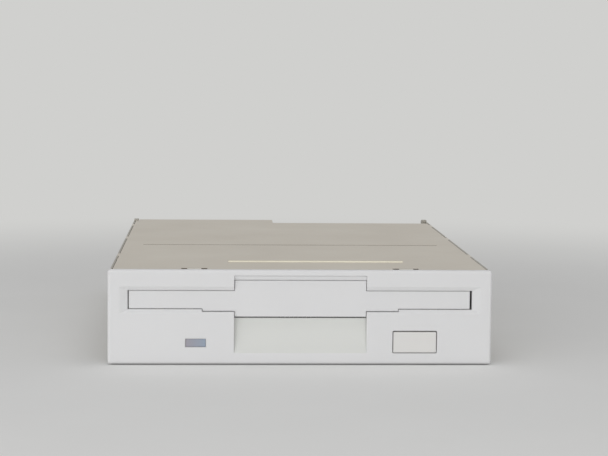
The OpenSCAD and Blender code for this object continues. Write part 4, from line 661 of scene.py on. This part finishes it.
def film_strip(line, sides, half):
    """A thin strip of four-sided section along a line of (y, z) points."""
    corners = []
    for i, (y, z) in enumerate(line):
        before, after = line[max(i - 1, 0)], line[min(i + 1, len(line) - 1)]
        run = Vector((after[0] - before[0], after[1] - before[1])).normalized()
        off_y, off_z = -run.y * half, run.x * half
        corners += [(sides[0], y + off_y, z + off_z), (sides[1], y + off_y, z + off_z),
                    (sides[1], y - off_y, z - off_z), (sides[0], y - off_y, z - off_z)]
    return corners, tube_faces(len(line), sides=4)


head_cable = make_piece("head_cable_film", film_strip(cable_line, CABLE_SIDES, FILM_HALF), None,
                        polyimide)
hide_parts("head_flex_cable")
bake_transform(head_cable)


# Sensing switches and track sensor: moulded black housings fixed on the base plate. The switches'
# round-topped nylon plungers feel the disk and its two windows.
dress("sensing_switches track_zero_sensor", black_polyester)
dress("density_plunger write_plunger disk_plunger", ivory_nylon)


# Latch lever and spring: a moulded nylon lever that turns on a post riveted into the base plate.
# A wound spring round the post turns it back to hold the slide.
dress("latch_lever", ivory_nylon)
LATCH_X, LATCH_Y, LATCH_COIL_Z = -38, 114, 9.1
LATCH_COIL, LATCH_WIRE = 2.82, 0.26
latch_coil = helix("Z", (LATCH_X, LATCH_Y, LATCH_COIL_Z), LATCH_COIL, length=2.1, turns=4)
wound_latch_spring = make_piece("wound_latch_spring", sweep(latch_coil, LATCH_WIRE), "frame",
                                spring_wire)
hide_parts("latch_spring")


# Disk holder and slide plate: two pressed and folded sheets of zinc-plated steel. The holder's pins
# ride in the slide's ramps, so that the holder drops when the slide comes forward.
# Two long wound springs draw the slide forward.
dress("disk_holder slide_plate", zinc_plate)
SLIDE_SPRING_X, SLIDE_SPRING_Z = 44, 22.4
SLIDE_SPRING_FROM, SLIDE_SPRING_TO = 20.2, 51.0
SLIDE_COIL, SLIDE_WIRE, SLIDE_TURNS = 0.82, 0.17, 34
SLIDE_SPRING_Y = (SLIDE_SPRING_FROM + SLIDE_SPRING_TO) / 2
SLIDE_SPRING_LENGTH = SLIDE_SPRING_TO - SLIDE_SPRING_FROM - 2 * SLIDE_WIRE
slide_coils = []
for x in (-SLIDE_SPRING_X, SLIDE_SPRING_X):
    coil_line = helix("Y", (x, SLIDE_SPRING_Y, SLIDE_SPRING_Z), SLIDE_COIL, SLIDE_SPRING_LENGTH, SLIDE_TURNS)
    slide_coils.append(sweep(coil_line, SLIDE_WIRE, sides=6))
wound_slide_springs = make_piece("wound_slide_springs", join(slide_coils), "frame",
                                 spring_wire)
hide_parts("slide_springs")
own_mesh(wound_slide_springs)


# Top cover: pressed sheet steel, tinned, dropped into the walls' rebate and hooked over their lips by six
# tabs. Its front lies on the bezel's rim, and the groove and the bead across it stiffen it.
COVER_TOP = 24.95
GROOVE_Y, GROOVE_REACH, GROOVE_DEPTH, GROOVE_INSET = 64.5, 0.45, 0.25, 1
GROOVE_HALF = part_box("top_cover")[1].x / MM - GROOVE_INSET
NOTCH_X, NOTCH_HALF, NOTCH_REAR = 28.1, 3.5, 5.3
SHEET_NEAR, FACE_NEAR = 0.02, 0.05
ROLLED_OUT, ROLLING_LINE, ROLLING_DEPTH, LINE_SHARE = (1, 0.08, 1), 0.7, 0.005, 0.25
TIN_CLOUD, SHEET_EDGE = 24, 0.2


def tinned(name, dark, light):
    """Tinned steel between two tones, softly clouded, with fine rolling lines along it."""
    made, tree, place = blank_material(name)
    rolling = add(tree, "ShaderNodeMapping", {"Vector": place, "Scale": ROLLED_OUT}).outputs[0]
    lines = add(tree, "ShaderNodeTexNoise", {"Vector": rolling, "Scale": per_mm(ROLLING_LINE), "Detail": 3.0})
    clouds = add(tree, "ShaderNodeTexNoise", {"Vector": place, "Scale": per_mm(TIN_CLOUD), "Detail": 4.0})
    rounded = add(tree, "ShaderNodeBevel", {"Radius": SHEET_EDGE * MM}, samples=4)
    mottle = add(tree, "ShaderNodeMix", {0: LINE_SHARE, 2: clouds.outputs[0], 3: lines.outputs[0]})
    spread = add(tree, "ShaderNodeMapRange", {"Value": mottle.outputs[0], "From Min": 0.2, "From Max": 0.8})
    tone = add(tree, "ShaderNodeMix",
               {0: spread.outputs[0], 6: paint(dark), 7: paint(light)}, data_type="RGBA")
    gloss = add(tree, "ShaderNodeMapRange", {"Value": lines.outputs[0], "To Min": 0.36, "To Max": 0.52})
    relief = add(tree, "ShaderNodeBump", {"Strength": 0.4, "Distance": ROLLING_DEPTH * MM,
                                          "Height": lines.outputs[0], "Normal": rounded.outputs[0]})
    shader = add(tree, "ShaderNodeBsdfPrincipled",
                 {"Base Color": tone.outputs[2], "Metallic": 1.0, "Roughness": gloss.outputs[0],
                  "Normal": relief.outputs[0]})
    add(tree, "ShaderNodeOutputMaterial", {"Surface": shader.outputs[0]})
    return made


def cover_face(x, y, z):
    """2 for the bead's faces, 1 for those in the groove and the front notches, and 0 for the rest."""
    if z > COVER_TOP + SHEET_NEAR:
        return 2
    sunk = z < COVER_TOP - SHEET_NEAR
    in_groove = abs(x) < GROOVE_HALF and abs(y - GROOVE_Y) < GROOVE_REACH
    in_notch = abs(abs(x) - NOTCH_X) < NOTCH_HALF and y < NOTCH_REAR
    return int(sunk and (in_notch or in_groove and z > COVER_TOP - GROOVE_DEPTH - FACE_NEAR))


# Tinned sheet: warm light grey, satin. The groove and the notches' cut edges get a much darker copy of the
# same sheet, as a painted shade line, and the bead's crest gets a little yellower copy, as a painted
# highlight.
tinned_sheet = tinned("tinned_sheet_steel", "C9C1B6", "D5CFC5")
# Painted shade: a dark copy of the tinned sheet for the groove and the notches' cut edges.
sheet_painted_shade = tinned("tinned_sheet_painted_shade", "7A7268", "847C71")
# Painted highlight: a yellower copy of the tinned sheet for the bead's crest.
sheet_painted_highlight = tinned("tinned_sheet_painted_highlight", "CAC5B5", "D6D1C1")
dress("top_cover", tinned_sheet, sheet_painted_shade, sheet_painted_highlight, pick=cover_face)


# Front bezel: injection-moulded ABS, clipped to the chassis by its side hooks and top tabs.
# The slot, the finger recess, the lamp window and the button's opening are moulded into it.
RECESS_HALF, RECESS_LOW, RECESS_HIGH, RECESS_DEPTH = 17.5, 3, 12.2, 2
TAB_HALF, TAB_FLOOR = 1.85, 24.5
# Moulded ABS: neutral pale grey with a fine spark-eroded grain, and a little dust and painted shade in its
# corners and gaps.
# A little light soaks in and comes out again near by, which softens its edges and narrow gaps.
# In the finger recess it is painted a little darker and yellower, as painted shade, and is a little smoother;
# its two top tabs are painted paler, as a painted highlight.
SOAKED_LIGHT = {"Subsurface Weight": 0.35, "Subsurface Radius": (1, 0.97, 0.94),
                "Subsurface Scale": 0.7 * MM}
ABS_GRAIN = {"ior": 1.53, "grain": 0.45, "depth": 0.012, "edge": 0.35, "finish": SOAKED_LIGHT}
pale_abs = moulded("pale_moulded_abs", "D8D8D9", "ABAAA6", 0.5, **ABS_GRAIN)
# Painted shade: a darker, yellower copy of the ABS for the finger recess.
recess_shade_abs = moulded("moulded_abs_painted_recess_shade", "D3D4D1", "ABAAA6", 0.45, **ABS_GRAIN)
# Painted highlight: a paler copy of the ABS for the top tabs.
tab_highlight_abs = moulded("moulded_abs_painted_tab_highlight", "F0EBE0", "ABAAA6", 0.55, **ABS_GRAIN)


def bezel_face(x, y, z):
    """1 for the faces of the finger recess, 2 for those of the top tabs and 0 for the rest."""
    in_width = abs(x) < RECESS_HALF + FACE_NEAR
    if in_width and RECESS_LOW < z < RECESS_HIGH and FACE_NEAR < y < RECESS_DEPTH:
        return 1
    on_tab = abs(abs(x) - NOTCH_X) < TAB_HALF + FACE_NEAR and z > TAB_FLOOR
    return 2 if on_tab else 0


dress("front_bezel", pale_abs, recess_shade_abs, tab_highlight_abs, pick=bezel_face)


# Slot door and its spring: a flap moulded in the bezel's ABS, which swings on two hinge pins.
# A small wound spring on the left pin closes it.
dress("slot_door", pale_abs)
HINGE_Y, HINGE_Z = 3.6, 21.3
DOOR_COIL, DOOR_WIRE = 1.06, 0.19
DOOR_SPRING_X = middle_x("door_spring")
door_coil = helix("X", (DOOR_SPRING_X, HINGE_Y, HINGE_Z), DOOR_COIL, length=0.7, turns=3)
wound_door_spring = make_piece("wound_door_spring", sweep(door_coil, DOOR_WIRE), "frame",
                               spring_wire)
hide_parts("door_spring")


# Eject button: moulded ABS, pressed on the slide's tongue, so that it moves with the slide.
# Another batch of the same ABS: a little warmer to the eye than the bezel, and a little smoother.
warm_abs = moulded("warm_moulded_abs", "D8D7D5", "A6A29C", 0.48, **ABS_GRAIN)
dress("eject_button", warm_abs)


# Activity lamp: a moulded lens of smoked acrylic, snapped into the bezel's window, and behind it a lamp in
# a black holder that is clipped under the front of the base plate.
# Smoked acrylic: glossy, with a faint haze, warm grey at its left and bluer at its right.
smoked_acrylic, lens_tree, lens_place = blank_material("smoked_acrylic")
lens_low, lens_high = [corner.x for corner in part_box("lamp_lens")]
LENS_HAZE, LENS_EDGE = 0.8, 0.25
lens_side = add(lens_tree, "ShaderNodeSeparateXYZ", {0: lens_place})
lens_share = add(lens_tree, "ShaderNodeMapRange",
                 {"Value": lens_side.outputs["X"], "From Min": lens_low, "From Max": lens_high})
lens_haze = add(lens_tree, "ShaderNodeTexNoise",
                {"Vector": lens_place, "Scale": per_mm(LENS_HAZE), "Detail": 2.0})
lens_tone = add(lens_tree, "ShaderNodeMix",
                {0: lens_share.outputs[0], 6: paint("A49EA5"), 7: paint("96A5B7")}, data_type="RGBA")
lens_gloss = add(lens_tree, "ShaderNodeMapRange",
                 {"Value": lens_haze.outputs[0], "To Min": 0.14, "To Max": 0.3})
lens_edge = add(lens_tree, "ShaderNodeBevel", {"Radius": LENS_EDGE * MM}, samples=4)
lens_shader = add(lens_tree, "ShaderNodeBsdfPrincipled",
                  {"Base Color": lens_tone.outputs[2], "Roughness": lens_gloss.outputs[0], "IOR": 1.49,
                   "Transmission Weight": 0.12, "Normal": lens_edge.outputs[0]})
add(lens_tree, "ShaderNodeOutputMaterial", {"Surface": lens_shader.outputs[0]})
dress("lamp_lens", smoked_acrylic)
dress("lamp_holder", black_polyester)


# Floor: a plain pale sheet of studio paper under the drive, which fades into the pale room behind.
# It takes the drive's shadow, and from below it isn't seen, so that the underside can be looked at.
FLOOR_HALF, FLOOR_DROP = 6.0, 0.0002
FADE_FROM, FADE_TO = 0.12, 0.38
CONTACT_REACH, FIBRE_CLOUD = 0.003, 40
PALE_ROOM, LIT_PAPER = "D0D0CE", "C8C8C6"
floor_corners = [(x * FLOOR_HALF, y * FLOOR_HALF, -FLOOR_DROP)
                 for x, y in ((-1, -1), (1, -1), (1, 1), (-1, 1))]
floor_mesh = bpy.data.meshes.new("studio_floor")
floor_mesh.from_pydata(floor_corners, [], [(0, 1, 2, 3)])
studio_floor = bpy.data.objects.new("studio_floor", floor_mesh)
bpy.context.scene.collection.objects.link(studio_floor)
# Studio paper: matt, near white, with a faint fibre mottle. The camera sees the drive's shadow on it, and
# the drive sees it evenly lit but for what it nearly touches, so that its underside gets light as well.
studio_paper, paper_tree, paper_place = blank_material("studio_paper")
fibre = add(paper_tree, "ShaderNodeTexNoise",
            {"Vector": paper_place, "Scale": per_mm(FIBRE_CLOUD), "Detail": 4.0})
paper_tone = add(paper_tree, "ShaderNodeMix",
                 {0: fibre.outputs[0], 6: paint("F0F0EF"), 7: paint("F4F4F3")}, data_type="RGBA")
paper_matt = add(paper_tree, "ShaderNodeBsdfDiffuse", {"Color": paper_tone.outputs[2]})
paper_far = add(paper_tree, "ShaderNodeEmission", {"Color": paint(PALE_ROOM), "Strength": 1.0})
paper_open = add(paper_tree, "ShaderNodeAmbientOcclusion", {"Distance": CONTACT_REACH}, samples=8)
paper_lit = add(paper_tree, "ShaderNodeEmission",
                {"Color": paint(LIT_PAPER), "Strength": paper_open.outputs["AO"]})
paper_clear = add(paper_tree, "ShaderNodeBsdfTransparent")
way_off = add(paper_tree, "ShaderNodeVectorMath", {0: paper_place}, operation="LENGTH")
fade = add(paper_tree, "ShaderNodeMapRange",
           {"Value": way_off.outputs["Value"], "From Min": FADE_FROM, "From Max": FADE_TO},
           interpolation_type="SMOOTHSTEP")
paper_shown = add(paper_tree, "ShaderNodeMixShader", {0: fade.outputs[0], 1: paper_matt.outputs[0],
                                                      2: paper_far.outputs[0]})
paper_ray = add(paper_tree, "ShaderNodeLightPath")
paper_top = add(paper_tree, "ShaderNodeMixShader", {0: paper_ray.outputs["Is Camera Ray"],
                                                    1: paper_lit.outputs[0], 2: paper_shown.outputs[0]})
from_below = add(paper_tree, "ShaderNodeNewGeometry").outputs["Backfacing"]
paper_shader = add(paper_tree, "ShaderNodeMixShader", {0: from_below, 1: paper_top.outputs[0],
                                                       2: paper_clear.outputs[0]})
add(paper_tree, "ShaderNodeOutputMaterial", {"Surface": paper_shader.outputs[0]})
floor_mesh.materials.append(studio_paper)


# Light: a large soft lamp in front and a little to the left, a low weak one in front that fills the
# edges that look down, and a soft lamp above. The pale room gives the rest.
def soft_lamp(name, place, aim, width, height, watts, mirrored=True):
    """A rectangular area lamp that looks at a point, and that metal may or may not mirror."""
    lamp = bpy.data.lights.new(name, "AREA")
    lamp.shape = "RECTANGLE"
    lamp.size = width
    lamp.size_y = height
    lamp.energy = watts
    made = bpy.data.objects.new(name, lamp)
    made.location = place
    made.visible_glossy = mirrored
    made.rotation_euler = (Vector(aim) - Vector(place)).to_track_quat("-Z", "Y").to_euler()
    bpy.context.scene.collection.objects.link(made)


BEZEL_MIDDLE = (0, 0, 0.012)
ROOM_FILL = 0.325
soft_lamp("key_lamp", place=(-0.4, -0.8, 0.24), aim=BEZEL_MIDDLE, width=2.0, height=0.5, watts=3.75)
soft_lamp("low_lamp", place=(-0.1, -0.75, 0.07), aim=BEZEL_MIDDLE, width=0.8, height=0.13, watts=1.57,
          mirrored=False)
soft_lamp("top_lamp", place=(0.1, -0.15, 1.15), aim=BEZEL_MIDDLE, width=1.2, height=0.9, watts=2.9)
room = bpy.data.worlds.new("pale_room")
room.use_nodes = True
room.node_tree.nodes.clear()
ray = add(room.node_tree, "ShaderNodeLightPath")
seen_or_mirrored = add(room.node_tree, "ShaderNodeMath",
                       {0: ray.outputs["Is Camera Ray"], 1: ray.outputs["Is Glossy Ray"]},
                       operation="MAXIMUM")
seen = add(room.node_tree, "ShaderNodeMath",
           {0: seen_or_mirrored.outputs[0], 1: ray.outputs["Is Transmission Ray"]}, operation="MAXIMUM")
fill = add(room.node_tree, "ShaderNodeBackground", {"Color": paint("FFFFFF"), "Strength": ROOM_FILL})
backdrop = add(room.node_tree, "ShaderNodeBackground", {"Color": paint(PALE_ROOM), "Strength": 1.0})
mixed_room = add(room.node_tree, "ShaderNodeMixShader",
                 {0: seen.outputs[0], 1: fill.outputs[0], 2: backdrop.outputs[0]})
add(room.node_tree, "ShaderNodeOutputWorld", {"Surface": mixed_room.outputs[0]})
bpy.context.scene.world = room
bpy.context.scene.view_settings.view_transform = "Standard"


# Camera: a long lens in front, a little to the left of the drive and above it, with a slight roll.
# Its place and lens were worked out from the bezel's edges and openings and from the rear ears.
CAMERA_PLACE = Vector((-22.8, -535.9, 80.4)) * MM
YAW, PITCH, ROLL = math.radians(2.91), math.radians(5.453), math.radians(0.524)
LENS, SENSOR, NEAREST = 104.74, 36, 0.01
ahead = Vector((math.sin(YAW) * math.cos(PITCH), math.cos(YAW) * math.cos(PITCH), -math.sin(PITCH)))
right = Vector((math.cos(YAW), -math.sin(YAW), 0))
upward = right.cross(ahead)
rolled_right = right * math.cos(ROLL) + upward * math.sin(ROLL)
rolled_up = upward * math.cos(ROLL) - right * math.sin(ROLL)
camera_data = bpy.data.cameras.new("camera")
camera_data.lens = LENS
camera_data.sensor_width = SENSOR
camera_data.clip_start = NEAREST
camera = bpy.data.objects.new("camera", camera_data)
camera.matrix_world = Matrix((rolled_right, rolled_up, -ahead)).transposed().to_4x4()
camera.location = CAMERA_PLACE
bpy.context.scene.collection.objects.link(camera)
bpy.context.scene.camera = camera
